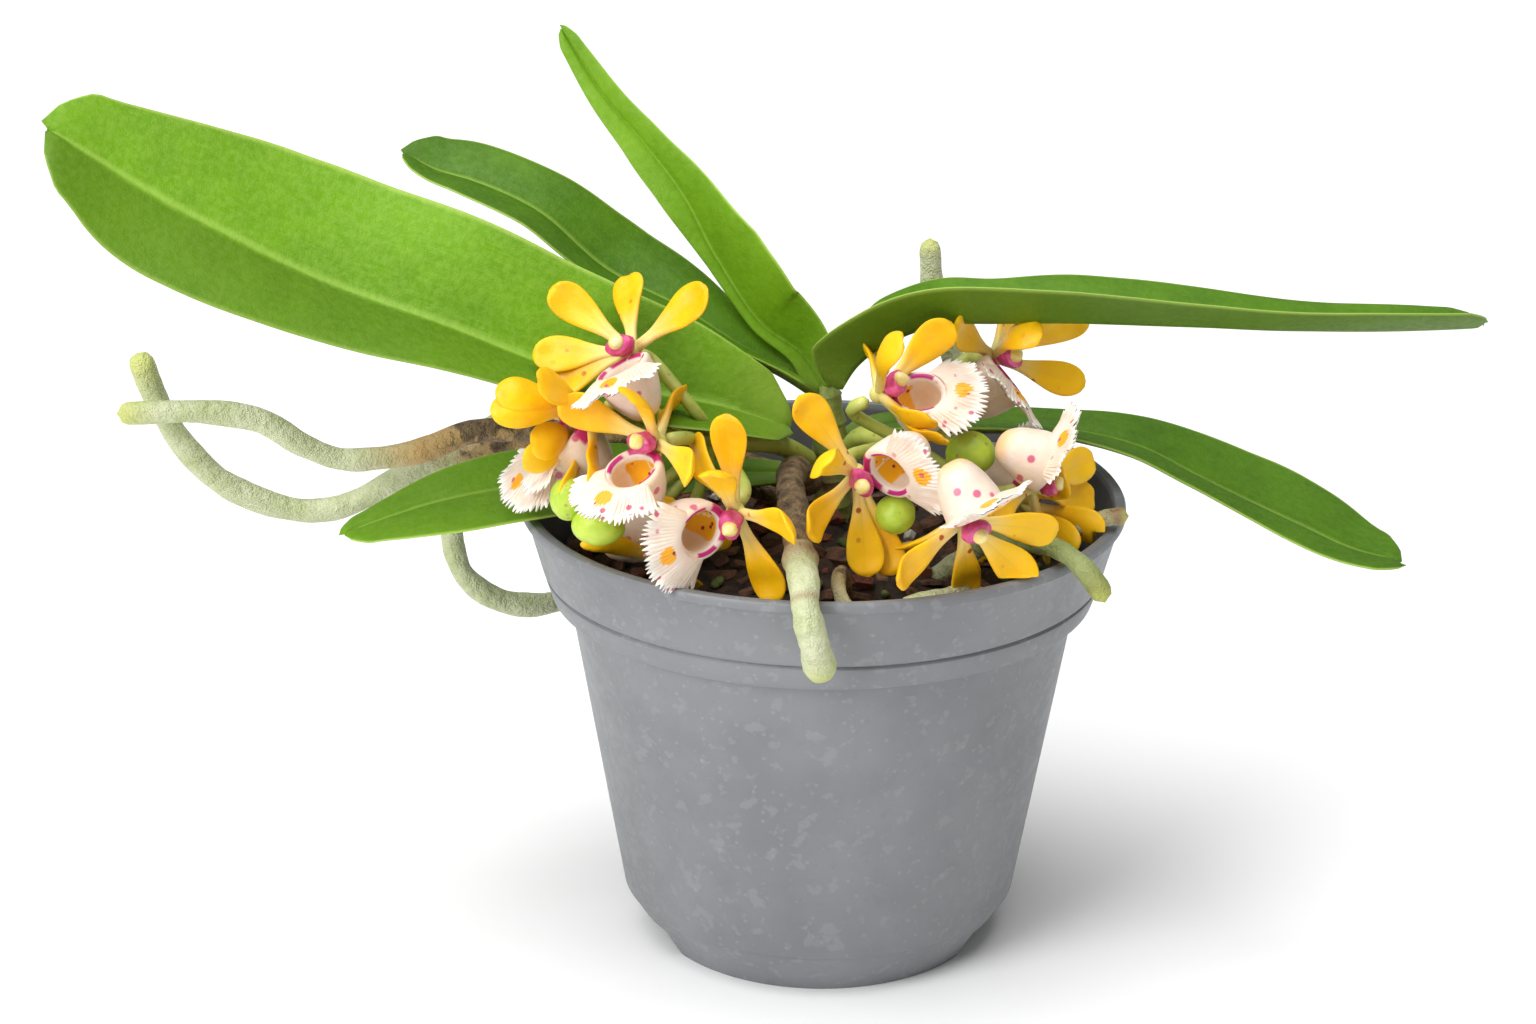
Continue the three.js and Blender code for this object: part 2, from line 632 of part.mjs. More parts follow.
// The blade of the lip: a fan with a torn edge that grows out of the front half of the rim
function fan() {
  const geometry = new THREE.BoxGeometry(1, 1, 1, FAN_COLUMNS, 1, 1);
  alikeOnBothFaces(geometry);
  const place = geometry.attributes.position;
  for (let i = 0; i < place.count; i += 1) {
    const column = Math.round((place.getX(i) + 0.5) * FAN_COLUMNS);
    const spread = radians(FAN_SPREAD) * 2 * place.getX(i);
    const notch = column % 2 === 0 ? FAN_NOTCH : 0;
    const outward = place.getY(i) + 0.5;
    const edgeX = (FAN_HALF_WIDTH - notch) * Math.sin(spread);
    const edgeFront = (FAN_REACH - notch) * Math.cos(spread) ** FAN_ROUNDNESS;
    const x = mix(FAN_ROOT * Math.sin(spread), edgeX, outward);
    const front = mix(FAN_ROOT * Math.cos(spread), edgeFront, outward);
    const thickness = mix(FAN_ROOT_THICKNESS, FAN_EDGE_THICKNESS, outward);
    const droop = FAN_DROOP * outward * (x / FAN_HALF_WIDTH) ** 2;
    place.setXYZ(i, x, thickness * place.getZ(i) - FAN_SINK - droop, -front);
  }
  return geometry.rotateX(radians(MOUTH_TILT)).translate(...MOUTH_PLACE);
}

// Turns the cut of the back face's squares, so that a waved blade's two faces run alike.
function alikeOnBothFaces(geometry) {
  const back = geometry.groups[5];
  const index = geometry.index.array;
  for (let i = back.start; i < back.start + back.count; i += 6) {
    const [a, b, d, , c] = index.slice(i, i + 5);
    index.set([a, b, c, a, c, d], i);
  }
}

function lipOf(flower) {
  return joined([pouch(), fan()].map((piece) => piece.applyMatrix4(flowerFrame(flower))));
}

function columnOf(flower) {
  const foot = HUB_RADIUS + GAP;
  const post = new THREE.CylinderGeometry(COLUMN_RADIUS * 0.85, COLUMN_RADIUS, COLUMN_LENGTH, 5);
  post.translate(0, foot + COLUMN_LENGTH / 2, 0.1);
  const anther = new THREE.IcosahedronGeometry(ANTHER_RADIUS);
  anther.translate(0, foot + COLUMN_LENGTH + 0.2, ANTHER_HEIGHT);
  return joined([post, anther].map((piece) => piece.applyMatrix4(flowerFrame(flower))));
}

// Flower stalks: a short peduncle, and a pedicel to the back of each flower and bud
const racemes = {
  raceme_left: {
    peduncle: [[-1.5, 0, 66], [-6, -5, 70], [-14, -11, 72.5]],
    blooms: ["flower_1", "flower_2", "flower_3", "flower_4", "flower_5", "flower_6"],
    buds: [
      { route: [[-21, -13.5, 65], [-29, -17, 62.6], [-32.3, -23.5, 69.2]], size: [2.5, 2.4, 2.9] },
      { route: [[-29, -17, 62.6], [-28.4, -26, 66.5]], size: [3.5, 2.5, 2.6] },
    ],
  },
  raceme_right: {
    peduncle: [[3, 1, 67], [5, -4, 71], [10, -9, 72]],
    blooms: ["flower_7", "flower_8", "flower_9", "flower_10", "flower_11", "flower_12"],
    buds: [
      { route: [[14.2, -12, 73.8], [18.5, -15, 72.5]], size: [3.3, 2.8, 2.9] },
      { route: [[9.2, -18, 71.7], [8.5, -27, 68.5]], size: [2.6, 2.5, 2.6] },
    ],
  },
};

function pedicelTo(junction, flower) {
  const frame = flowerFrame(flower);
  const behind = (reach) => new THREE.Vector3(0, -reach, 0).applyMatrix4(frame);
  const seat = HUB_RADIUS + GAP;
  const route = [junction, ...(flower.via ?? []), behind(BEND_BEHIND).toArray(), behind(seat).toArray()];
  return tube(route, () => PEDICEL_RADIUS, 4, 3);
}

function raceme({ peduncle, blooms, buds }) {
  const junction = peduncle[peduncle.length - 1];
  const pieces = [tube(peduncle, () => PEDUNCLE_RADIUS, 6, 5)];
  for (const name of blooms) {
    pieces.push(pedicelTo(junction, flowers.find((flower) => flower.name === name)));
  }
  // Each bud's route ends in the bud; a later bud may branch off the stalk of the one before.
  for (const { route, size } of buds) {
    pieces.push(tube([junction, ...route], () => PEDICEL_RADIUS, 4, 4));
    pieces.push(new THREE.SphereGeometry(1, 6, 4).scale(...size).translate(...route.at(-1)));
  }
  return joined(pieces);
}

// The whole plant: what comes first keeps its form, and what comes later is cut clear of it.
const pieces = [];

function add(name, solid, material) {
  let body = solid;
  for (const piece of pieces) {
    if (boxesMeet(body, piece.halo)) body = body.subtract(piece.halo).subtract(piece.body);
  }
  body = largestPiece(body);
  pieces.push({ name, body, material, halo: grown(body) });
}

add("pot", pot(), finishes.pot);
add("plant_stem", plantStem(), finishes.stem);
for (const [name, shape] of Object.entries(leaves)) add(name, leaf(shape), finishes.leaf);
for (const flower of flowers) add(`${flower.name}_column`, columnOf(flower), finishes.column);
for (const flower of flowers) add(`${flower.name}_lip`, lipOf(flower), finishes.lip);
for (const flower of flowers) add(`${flower.name}_tepals`, tepalsOf(flower), finishes.tepal);
for (const [name, shape] of Object.entries(roots)) add(name, root(shape), finishes.root);
for (const [name, shape] of Object.entries(racemes)) add(name, raceme(shape), finishes.stalk);
add("potting_mix", pottingMix(), finishes.mix);

const orchid = new THREE.Group();
for (const { name, body, material } of pieces) {
  const mesh = new THREE.Mesh(geometryOf(body), material);
  mesh.name = name;
  orchid.add(mesh);
}

export default orchid;
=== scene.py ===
# %% [markdown]
# # A small orchid in flower
#
# This plant stands in a grey nursery pot: six long leaves, two sprays of yellow blooms
# with white fringed lips, and pale roots that climb out over the rim. The solids of every
# piece are already packed, so this lesson builds the fine skin that goes over each of them.

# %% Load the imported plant
import math
import random

import bmesh
import bpy
from mathutils import Matrix, Vector, noise


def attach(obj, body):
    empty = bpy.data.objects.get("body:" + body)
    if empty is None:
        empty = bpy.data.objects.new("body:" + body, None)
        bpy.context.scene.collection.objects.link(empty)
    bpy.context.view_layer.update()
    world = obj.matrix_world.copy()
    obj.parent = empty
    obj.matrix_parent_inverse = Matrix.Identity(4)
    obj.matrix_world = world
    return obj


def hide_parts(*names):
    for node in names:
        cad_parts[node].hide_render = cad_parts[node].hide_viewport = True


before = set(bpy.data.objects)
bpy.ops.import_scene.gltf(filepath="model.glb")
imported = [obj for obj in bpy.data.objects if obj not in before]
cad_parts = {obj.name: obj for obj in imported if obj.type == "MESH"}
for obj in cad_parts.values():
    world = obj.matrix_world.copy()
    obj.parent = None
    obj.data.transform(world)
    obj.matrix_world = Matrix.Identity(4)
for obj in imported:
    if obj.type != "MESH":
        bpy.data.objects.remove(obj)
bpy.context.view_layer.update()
MM = 0.001


def stand(name, data):
    made = bpy.data.objects.new(name, data)
    bpy.context.scene.collection.objects.link(made)
    return made


def mesh_from(shape, name, scale=1.0):
    bmesh.ops.scale(shape, vec=(scale,) * 3, verts=shape.verts)
    mesh = bpy.data.meshes.new(name)
    shape.to_mesh(mesh)
    shape.free()
    return mesh


print("packed nodes:", len(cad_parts))

# %% [markdown]
# ## Camera
#
# A photograph of a plant on a table is usually taken from a little above it. The camera
# stands about 44 cm away, looks 20 degrees down and leans by less than half a degree. It comes
# first, because every later choice of detail depends on what it sees.

# %% Place the camera
CAMERA_PLACE = (-7.3066, -414.587, 211.406)
CAMERA_LENS = 77.977
VIEW_DOWN = math.radians(20.2)
VIEW_LEAN = math.radians(0.4)
camera_data = bpy.data.cameras.new("camera")
camera_data.sensor_width = 36
camera_data.lens = CAMERA_LENS
camera_data.clip_start = 0.01
camera = stand("camera", camera_data)
aim = Matrix.Rotation(math.pi / 2 - VIEW_DOWN, 4, "X") @ Matrix.Rotation(VIEW_LEAN, 4, "Z")
camera.matrix_world = Matrix.Translation(Vector(CAMERA_PLACE) * MM) @ aim
bpy.context.scene.camera = camera
print("camera at", [round(x, 4) for x in camera.matrix_world.translation])

# %% [markdown]
# ## Floor and light
#
# A studio picture on white needs a pale floor and soft light from all round. A wide sky
# lamp overhead gives most of it, a soft key from the left shapes the pot, a faint fill
# opens the right, and a bright surround keeps the shadow under the pot pale.

# %% Lay the floor and hang the lamps
AIM_POINT = Vector((0, 0, 0.06))
LAMP_SIZE = 0.5
LAMPS = {"key": ((-0.6, -0.62, 0.55), 6), "fill": ((0.7, -0.45, 0.35), 0.1)}
for name, (place, watts) in LAMPS.items():
    lamp = bpy.data.lights.new(name, "AREA")
    lamp.shape = "DISK"
    lamp.size = LAMP_SIZE
    lamp.energy = watts
    aim = (AIM_POINT - Vector(place)).to_track_quat("-Z", "Y").to_matrix().to_4x4()
    stand(name, lamp).matrix_world = Matrix.Translation(place) @ aim

SKY_STRENGTH = 2.7
SKY_SPREAD = math.radians(60)
SKY_TILT = Matrix.Rotation(math.radians(7), 4, "X") @ Matrix.Rotation(math.radians(-8), 4, "Y")
sky = bpy.data.lights.new("sky", "SUN")
sky.energy = SKY_STRENGTH
sky.angle = SKY_SPREAD
stand("sky", sky).matrix_world = SKY_TILT

SURROUND_STRENGTH = 0.27
world = bpy.data.worlds.new("surround")
bpy.context.scene.world = world
world.use_nodes = True
surround = world.node_tree.nodes["Background"].inputs
surround["Color"].default_value = (1, 1, 1, 1)
surround["Strength"].default_value = SURROUND_STRENGTH
bpy.context.scene.view_settings.view_transform = "Standard"

FLOOR_GREY = 0.95
floor_shape = bmesh.new()
bmesh.ops.create_grid(floor_shape, x_segments=1, y_segments=1, size=4)
floor = stand("floor", mesh_from(floor_shape, "floor"))
floor_paint = bpy.data.materials.new("floor paint")
floor_paint.use_nodes = True
floor_dials = floor_paint.node_tree.nodes["Principled BSDF"].inputs
floor_dials["Base Color"].default_value = (FLOOR_GREY, FLOOR_GREY, FLOOR_GREY, 1)
floor_dials["Roughness"].default_value = 0.9
floor.data.materials.append(floor_paint)
print("lamps, surround and floor ready")

# %% [markdown]
# ## Node helpers
#
# Materials are small networks of nodes. Wiring them by hand is wordy, so a set of wires
# knows its own tree, makes a node, sets or links its inputs, and returns the socket that
# matters.


# %% Helpers that wire shader nodes
class Wires:
    def __init__(self, tree):
        self.tree = tree

    def node(self, kind, inputs=(), **settings):
        made = self.tree.nodes.new(kind)
        for key, value in settings.items():
            setattr(made, key, value)
        for key, value in dict(inputs).items():
            self.feed(made.inputs[key], value)
        return made

    def feed(self, socket, value):
        if isinstance(value, bpy.types.NodeSocket):
            self.tree.links.new(value, socket)
        else:
            socket.default_value = value

    def maths(self, operation, *values):
        return self.node("ShaderNodeMath", enumerate(values), operation=operation).outputs[0]

    def times(self, first, second):
        return self.maths("MULTIPLY", first, second)

    def ramp(self, value, low, high, to_low=0.0, to_high=1.0):
        ends = {"From Min": low, "From Max": high, "To Min": to_low, "To Max": to_high}
        smooth_steps = {"interpolation_type": "SMOOTHSTEP"}
        return self.node("ShaderNodeMapRange", {"Value": value, **ends}, **smooth_steps).outputs[0]

    def noise(self, place, scale, detail=2.0, roughness=0.5):
        dials = {"Vector": place, "Scale": scale, "Detail": detail, "Roughness": roughness}
        return self.node("ShaderNodeTexNoise", dials).outputs[0]


print("node helpers ready")

# %% [markdown]
# ## Two shared effects
#
# Living things are never one even colour. *Mottling* is a soft two-scale noise that shifts
# a colour. *Dots* are small round freckles, each in its own cell and only in some cells.
# Both go into many finishes, so each is a node group with its own dials.


# %% Build the shared node groups
def new_group(name, dials, result):
    group = bpy.data.node_groups.new(name, "ShaderNodeTree")
    for label, value in {"Place": None, **dials}.items():
        kind = "NodeSocketVector" if value is None else "NodeSocketFloat"
        socket = group.interface.new_socket(label, in_out="INPUT", socket_type=kind)
        if value is not None:
            socket.default_value = value
    group.interface.new_socket(result, in_out="OUTPUT", socket_type="NodeSocketFloat")
    dial = group.nodes.new("NodeGroupInput").outputs
    return Wires(group), dial, group.nodes.new("NodeGroupOutput").inputs[result]


def mottling_group():
    wires, dial, result = new_group("Mottling", {"Scale": 200.0}, "Amount")
    broad = wires.noise(dial["Place"], dial["Scale"])
    fine = wires.noise(dial["Place"], wires.times(dial["Scale"], 4.7))
    both = wires.maths("MULTIPLY_ADD", fine, 0.45, broad)
    wires.feed(result, wires.ramp(both, 0.45, 1.0))
    return wires.tree


def dots_group():
    wires, dial, result = new_group("Dots", {"Scale": 700.0, "Size": 0.25, "Share": 0.5}, "Mask")
    spots = {"Vector": dial["Place"], "Scale": dial["Scale"]}
    cells = wires.node("ShaderNodeTexVoronoi", spots).outputs
    inside = wires.ramp(cells["Distance"], wires.times(dial["Size"], 0.6), dial["Size"], 1.0, 0.0)
    parts = wires.node("ShaderNodeSeparateColor", {0: cells["Color"]})
    chosen = wires.maths("LESS_THAN", parts.outputs[0], dial["Share"])
    wires.feed(result, wires.times(inside, chosen))
    return wires.tree


MOTTLING = mottling_group()
DOTS = dots_group()
print("node groups:", MOTTLING.name, "and", DOTS.name)

# %% [markdown]
# ## What every finish starts from
#
# A finish is a set of wires with a shader at its end. It knows the place of each point of
# the piece, can read the pattern numbers that the piece carries, and lays one colour over
# another by a mask.


# %% Helpers that mix a finish
class Finish(Wires):
    def __init__(self, name, roughness, coat=0.0, subsurface=0.0, specular=0.5):
        self.made = bpy.data.materials.new(name)
        self.made.use_nodes = True
        super().__init__(self.made.node_tree)
        self.shader = self.tree.nodes["Principled BSDF"]
        self.set("Roughness", roughness)
        self.set("Coat Weight", coat)
        self.set("Coat Roughness", 0.3)
        self.set("Specular IOR Level", specular)
        self.set("Subsurface Weight", subsurface)
        self.set("Subsurface Radius", (0.002, 0.0012, 0.0006))
        self.place = self.node("ShaderNodeTexCoord").outputs["Object"]

    def set(self, label, value):
        self.feed(self.shader.inputs[label], value)

    def pattern_parts(self):
        carried = self.node("ShaderNodeAttribute", attribute_name="pattern")
        return tuple(self.node("ShaderNodeSeparateXYZ", {0: carried.outputs["Vector"]}).outputs)

    def tint(self, mask, under, over):
        under, over = ((*c, 1.0) if isinstance(c, tuple) else c for c in (under, over))
        return self.node("ShaderNodeMix", {0: mask, 6: under, 7: over}, data_type="RGBA").outputs[2]

    def mottle(self, scale):
        dials = {"Place": self.place, "Scale": scale}
        return self.node("ShaderNodeGroup", dials, node_tree=MOTTLING).outputs[0]

    def mottled(self, scale, under, over):
        return self.tint(self.mottle(scale), under, over)

    def dots(self, scale, size, share):
        dials = {"Place": self.place, "Scale": scale, "Size": size, "Share": share}
        return self.node("ShaderNodeGroup", dials, node_tree=DOTS).outputs[0]

    def relief(self, height, strength, distance):
        inputs = {"Height": height, "Strength": strength, "Distance": distance}
        self.set("Normal", self.node("ShaderNodeBump", inputs).outputs["Normal"])


print("finish helpers ready")

# %% [markdown]
# ## Lines that grow
#
# A leaf, a root and a petal all follow a line through a few points in space. Blender has
# curve objects for this, but here every ring of a piece also needs its own width, so the
# line is sampled in code. The weighting by the root of each gap keeps it from looping where
# two points are close together.

# %% A smooth line through points, measured by its own length
LINE_STEPS = 24
WAY_STEP = 0.004


def line_point(a, b, c, d, share):
    knots = [0.0]
    for p, q in ((a, b), (b, c), (c, d)):
        knots.append(knots[-1] + max((q - p).length, 1e-6) ** 0.5)
    x = knots[1] + (knots[2] - knots[1]) * share
    level = [a, b, c, d]
    for width in (1, 2, 3):
        lower = []
        for i in range(len(level) - 1):
            start = knots[i] if width < 3 else knots[1]
            end = knots[i + width] if width < 3 else knots[2]
            lower.append(level[i].lerp(level[i + 1], (x - start) / (end - start)))
        level = lower
    return level[0]


class Line:
    def __init__(self, route):
        points = [Vector(p) for p in route]
        points = [points[0] * 2 - points[1], *points, points[-1] * 2 - points[-2]]
        self.marks = []
        for corners in zip(points, points[1:], points[2:], points[3:]):
            self.marks += [line_point(*corners, k / LINE_STEPS) for k in range(LINE_STEPS)]
        self.marks.append(points[-2])
        self.reach = [0.0]
        for p, q in zip(self.marks, self.marks[1:]):
            self.reach.append(self.reach[-1] + (q - p).length)
        self.length = self.reach[-1]

    def at(self, t):
        goal = min(max(t, 0.0), 1.0) * self.length
        low, high = 0, len(self.reach) - 1
        while high - low > 1:
            middle = (low + high) // 2
            low, high = (middle, high) if self.reach[middle] <= goal else (low, middle)
        gap = self.reach[high] - self.reach[low]
        return self.marks[low].lerp(self.marks[high], (goal - self.reach[low]) / max(gap, 1e-9))

    def way(self, t):
        return (self.at(min(t + WAY_STEP, 1)) - self.at(max(t - WAY_STEP, 0))).normalized()

    def axes(self, t, facing):
        along = self.way(t)
        side = along.cross(facing).normalized()
        return along, side, side.cross(along)


def smooth(x, low, high):
    share = min(max((x - low) / (high - low), 0.0), 1.0)
    return share * share * (3 - 2 * share)


def mix(a, b, share):
    return a + (b - a) * share


def rounded(ends):
    return math.sqrt(max(0.0, ends * (2 - ends)))


print("a test line is", round(Line([(0, 0, 0), (10, 0, 0), (20, 5, 0)]).length, 2), "mm long")

# %% [markdown]
# ## Closed skins from one grid
#
# A flat grid rolled round a line makes a closed skin: one of its directions goes round
# the ring and the other along the line. Merging doubles closes the seam and both ends.
# Each point also keeps three numbers of its own, such as its place across and along the
# leaf, which the finishes read later to put a pattern where it belongs.

# %% Helpers that roll a grid into a skin and hand a piece over
MERGE_WITHIN = 0.004
SMALLEST_EDGE = 0.0005


def new_shape():
    shape = bmesh.new()
    shape.verts.layers.float_vector.new("pattern")
    return shape


def skin(shape, around, along, place):
    pattern = shape.verts.layers.float_vector["pattern"]
    made = bmesh.ops.create_grid(shape, x_segments=around, y_segments=along, size=0.5)["verts"]
    for v in made:
        turn, t = 2 * math.pi * (v.co.x + 0.5), v.co.y + 0.5
        v.co, v[pattern] = place(turn, t)
    before = set(shape.verts) - set(made)
    bmesh.ops.remove_doubles(shape, verts=made, dist=MERGE_WITHIN)
    return [v for v in shape.verts if v not in before]


def hand_over(shape, name, cad_node, finish_with, crease=50):
    bmesh.ops.dissolve_degenerate(shape, dist=SMALLEST_EDGE, edges=shape.edges)
    bmesh.ops.recalc_face_normals(shape, faces=shape.faces)
    for edge in shape.edges:
        edge.smooth = edge.calc_face_angle(0) < math.radians(crease)
    for face in shape.faces:
        face.smooth = True
    piece = stand(name, mesh_from(shape, name, MM))
    piece.data.materials.append(finish_with)
    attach(piece, "root")
    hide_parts(cad_node)
    print(name, len(piece.data.polygons), "faces for", cad_node)
    return piece


# %% [markdown]
# ## Leaf finish
#
# The leaves are leathery and yellow-green, with a paler midrib, a painted highlight along the
# margin, fine veins along the blade and a dense pale fleck that is only seen close by. The
# undersides, and one half of the bright leaf's blade, are darkened as painted shade, and one
# leaf green is raised in part as painted light. The pattern numbers carry the place across
# the blade, along it, and which face a point is on.


# %% Mix the leaf finishes
def leaf_finish(name, sunny, shady, flecks, second_half_shade=0.0):
    paint = Finish(name, roughness=0.42, subsurface=0.05, specular=0.22)
    across, along, face = paint.pattern_parts()
    spread = paint.maths("ABSOLUTE", across)
    blade = paint.mottled(60.0, shady, sunny)
    glow = tuple(1.35 * c for c in sunny)
    strands = {0: paint.times(across, 26.0), 1: paint.times(along, 3.0), 2: 0.0}
    veins = paint.noise(paint.node("ShaderNodeCombineXYZ", strands).outputs[0], 5.0)
    blade = paint.tint(paint.ramp(veins, 0.45, 0.75, 0.0, 0.28), blade, glow)
    fleck = paint.mottle(1100.0)
    blade = paint.tint(paint.times(fleck, flecks), blade, (0.42, 0.62, 0.13))
    rib = paint.ramp(spread, 0.0, 0.07, 1.0, 0.0)
    blade = paint.tint(paint.times(rib, 0.4), blade, (0.44, 0.66, 0.12))
    # Painted highlight: a light band along the leaf edge, where the margin catches the light.
    margin_highlight = paint.ramp(spread, 0.93, 1.0, 0.0, 0.6)
    blade = paint.tint(margin_highlight, blade, (0.5, 0.68, 0.14))
    foot = paint.ramp(along, 0.0, 0.14, 0.55, 0.0)
    blade = paint.tint(foot, blade, (0.36, 0.52, 0.08))
    # Painted shade: the underside of the blade is darkened, as if turned away from the light.
    under = paint.ramp(face, -0.2, -0.6, 0.0, 0.45)
    blade = paint.tint(under, blade, (0.1, 0.155, 0.012))
    # Painted shade: the blade on the second side of the midrib is darkened, as if turned away from
    # the light, by the given share.
    second_half_painted_shade = paint.times(paint.ramp(across, -0.02, -0.12), second_half_shade)
    blade = paint.tint(second_half_painted_shade, blade, (0.05, 0.11, 0.001))
    marks = paint.dots(95.0, 0.045, 0.3)
    blade = paint.tint(paint.times(marks, 0.7), blade, (0.5, 0.55, 0.18))
    paint.set("Base Color", blade)
    paint.set("Roughness", paint.ramp(fleck, 0.0, 1.0, 0.48, 0.36))
    height = paint.maths("MULTIPLY_ADD", veins, 0.6, fleck)
    paint.relief(height, 0.35, 0.00012)
    return paint.made


# The bright leaf carries painted shade on the second half of its blade.
LEAF_BRIGHT = leaf_finish("bright leaf", (0.16, 0.36, 0.006), (0.11, 0.27, 0.003), 0.2, second_half_shade=0.45)
# Partly painted light: this leaf green is raised so that the upright and low left blades, which get
# little of the overhead sky lamp, look as bright as the lit leaves. The rest is the leaves' own
# green.
LEAF_PAINTED_LIGHTER = leaf_finish("leaf painted lighter", (0.165, 0.345, 0.006), (0.11, 0.26, 0.002), 0.1)
LEAF_DEEP = leaf_finish("deep leaf", (0.085, 0.21, 0.003), (0.05, 0.14, 0.001), 0.06)
print("leaf finishes:", LEAF_BRIGHT.name, LEAF_PAINTED_LIGHTER.name, LEAF_DEEP.name)

# %% [markdown]
# ## Leaves
#
# Each leaf is a thick strap, folded along its midrib at the foot and flatter at the tip,
# where two uneven lobes meet in a notch. A ring round the blade is a flat oval. Each side
# of the midrib has half widths of its own, listed at eleven stations along the leaf. A
# slow noise lifts the whole blade a little, so that no leaf looks pressed.

# %% Grow the six leaves
LEAF_HALF_THICKNESS = 0.9
STATIONS = (0, 0.08, 0.16, 0.28, 0.4, 0.52, 0.64, 0.75, 0.84, 0.91, 0.96)
LOBE_DEPTH = 0.08
LEAF_SIDES, LEAF_RINGS = 48, 110
LEAF_WAVE = 0.5
RIB_GROOVE, RIB_WIDTH = 0.35, 0.07
FOOT_TAPER = 0.05
LEAVES = {
    "leaf_long_left": {
        "route": [
            (-4.5, -4.5, 72), (-13.7, -7, 75.8), (-24.6, -9, 78.7), (-37.1, -10.5, 82.9),
            (-49.9, -12, 88.7), (-65.2, -13.5, 95.1), (-79, -15, 103), (-89.7, -16, 110),
            (-95.7, -17, 114.2),
        ],
        "face": (0, -0.54, 0.84),
        "first": (4, 5.9, 9, 11.1, 12.9, 14.3, 15.2, 14.4, 12.1, 9.7, 7.6),
        "second": (5, 9.5, 11, 9.4, 9.4, 11.3, 12, 13.1, 12.8, 10.9, 7.6),
        "fold": (0.8, 0.15),
        "finish": LEAF_BRIGHT,
    },
    "leaf_long_right": {
        "route": [
            (1.5, 0.5, 76), (4.1, -1.5, 80.9), (7.9, -3, 84.2), (14.5, -5, 87.3), (22, -6, 88),
            (35, -6, 88), (48, -5, 87.3), (61, -3, 86.2), (74.5, -1, 85.3), (85.8, 1, 85.5),
        ],
        "face": (0, 0.18, 1),
        "first": (4.1, 4.4, 4.9, 5.8, 5.1, 3.9, 3.4, 3.2, 3.7, 3.8, 3.3),
        "second": (5, 6.5, 6.2, 5.4, 6.4, 6.6, 5.5, 4.5, 4.4, 3.9, 3),
        "fold": (0.9, 0.6),
        "finish": LEAF_DEEP,
    },
    "leaf_upright": {
        "route": [
            (0.3, 3.2, 75), (-2.6, 3.8, 79.5), (-8.2, 5, 83.4), (-14.3, 7.5, 91.9),
            (-18.4, 10, 99.1), (-23.4, 13, 105.1), (-29.3, 16.5, 111.2), (-35, 20, 119.3),
        ],
        "face": (-0.35, -0.85, 0.4),
        "first": (2.2, 4.5, 6.6, 8, 7.4, 4.8, 3.2, 2.6, 2.5, 2.1, 1.5),
        "second": (2.2, 1.9, 1.4, 1.2, 1.6, 3, 3.1, 2.4, 1.9, 1.6, 1.4),
        "fold": (0.85, 0.5),
        "finish": LEAF_PAINTED_LIGHTER,
    },
    "leaf_arched_left": {
        "route": [
            (-0.8, 2.8, 74.5), (-5, 3, 77.2), (-11.6, 3.5, 80.6), (-19.3, 5, 85.4),
            (-29.1, 7, 90.1), (-37.6, 9, 96.8), (-46.5, 11, 100.6), (-51.7, 12, 102.1),
            (-55.6, 13, 104.1),
        ],
        "face": (0.15, -0.25, 0.95),
        "first": (1.4, 2, 3.5, 5, 6.9, 8, 7.4, 6.8, 6.7, 6.4, 5),
        "second": (3, 4, 5, 5.8, 6.6, 7.4, 8.4, 8.8, 7.8, 6, 3.5),
        "fold": (0.65, 0.35),
        "finish": LEAF_DEEP,
    },
    "leaf_low_right": {
        "route": [
            (1.8, 4, 67), (7.3, 6, 68.4), (17.2, 8, 68.3), (31.9, 9, 67.3), (42.2, 8, 65.3),
            (50.1, 6, 62), (56.9, 4, 59.3), (63.7, 1.5, 56.7), (70, -1, 54.6), (76.4, -3.5, 53.9),
        ],
        "face": (0.1, -0.1, 0.99),
        "first": (2.5, 3, 4, 5, 6, 6, 4.8, 5.6, 6.8, 5.9, 5),
        "second": (2.2, 2.4, 3, 3.9, 4.6, 7.2, 11, 12.3, 11.1, 8.8, 5.8),
        "fold": (0.45, 0.12),
        "finish": LEAF_DEEP,
    },
    "leaf_low_left": {
        "route": [
            (-3, 2.5, 63), (-14, 2, 63.3), (-27.5, -1, 63.6), (-38.5, -5, 63.8), (-48.5, -8, 63),
            (-56, -10, 61.5), (-62, -12, 60),
        ],
        "face": (-0.1, -0.25, 0.96),
        "first": (2, 2.4, 3.4, 5, 6.8, 7.6, 7.8, 7.1, 5.5, 3.8, 2.6),
        "second": (2, 4.5, 6.5, 8.5, 10, 10.3, 9.8, 9.1, 7.2, 5.7, 4),
        "fold": (0.4, 0.08),
        "finish": LEAF_PAINTED_LIGHTER,
    },
}


def width_at(widths, t):
    total = 0.0
    for step in (-0.03, -0.015, 0, 0.015, 0.03):
        at = min(max(t + step, 0.0), STATIONS[-1])
        k = max(1, next(i for i, station in enumerate(STATIONS) if station >= at))
        share = (at - STATIONS[k - 1]) / (STATIONS[k] - STATIONS[k - 1])
        total += mix(widths[k - 1], widths[k], share) / 5
    total *= math.sqrt(min(1.0, (t + 0.003) / FOOT_TAPER))
    if t > STATIONS[-1]:
        total *= math.sqrt(max(0.0, (1.0002 - t) / (1 - STATIONS[-1])))
    return total


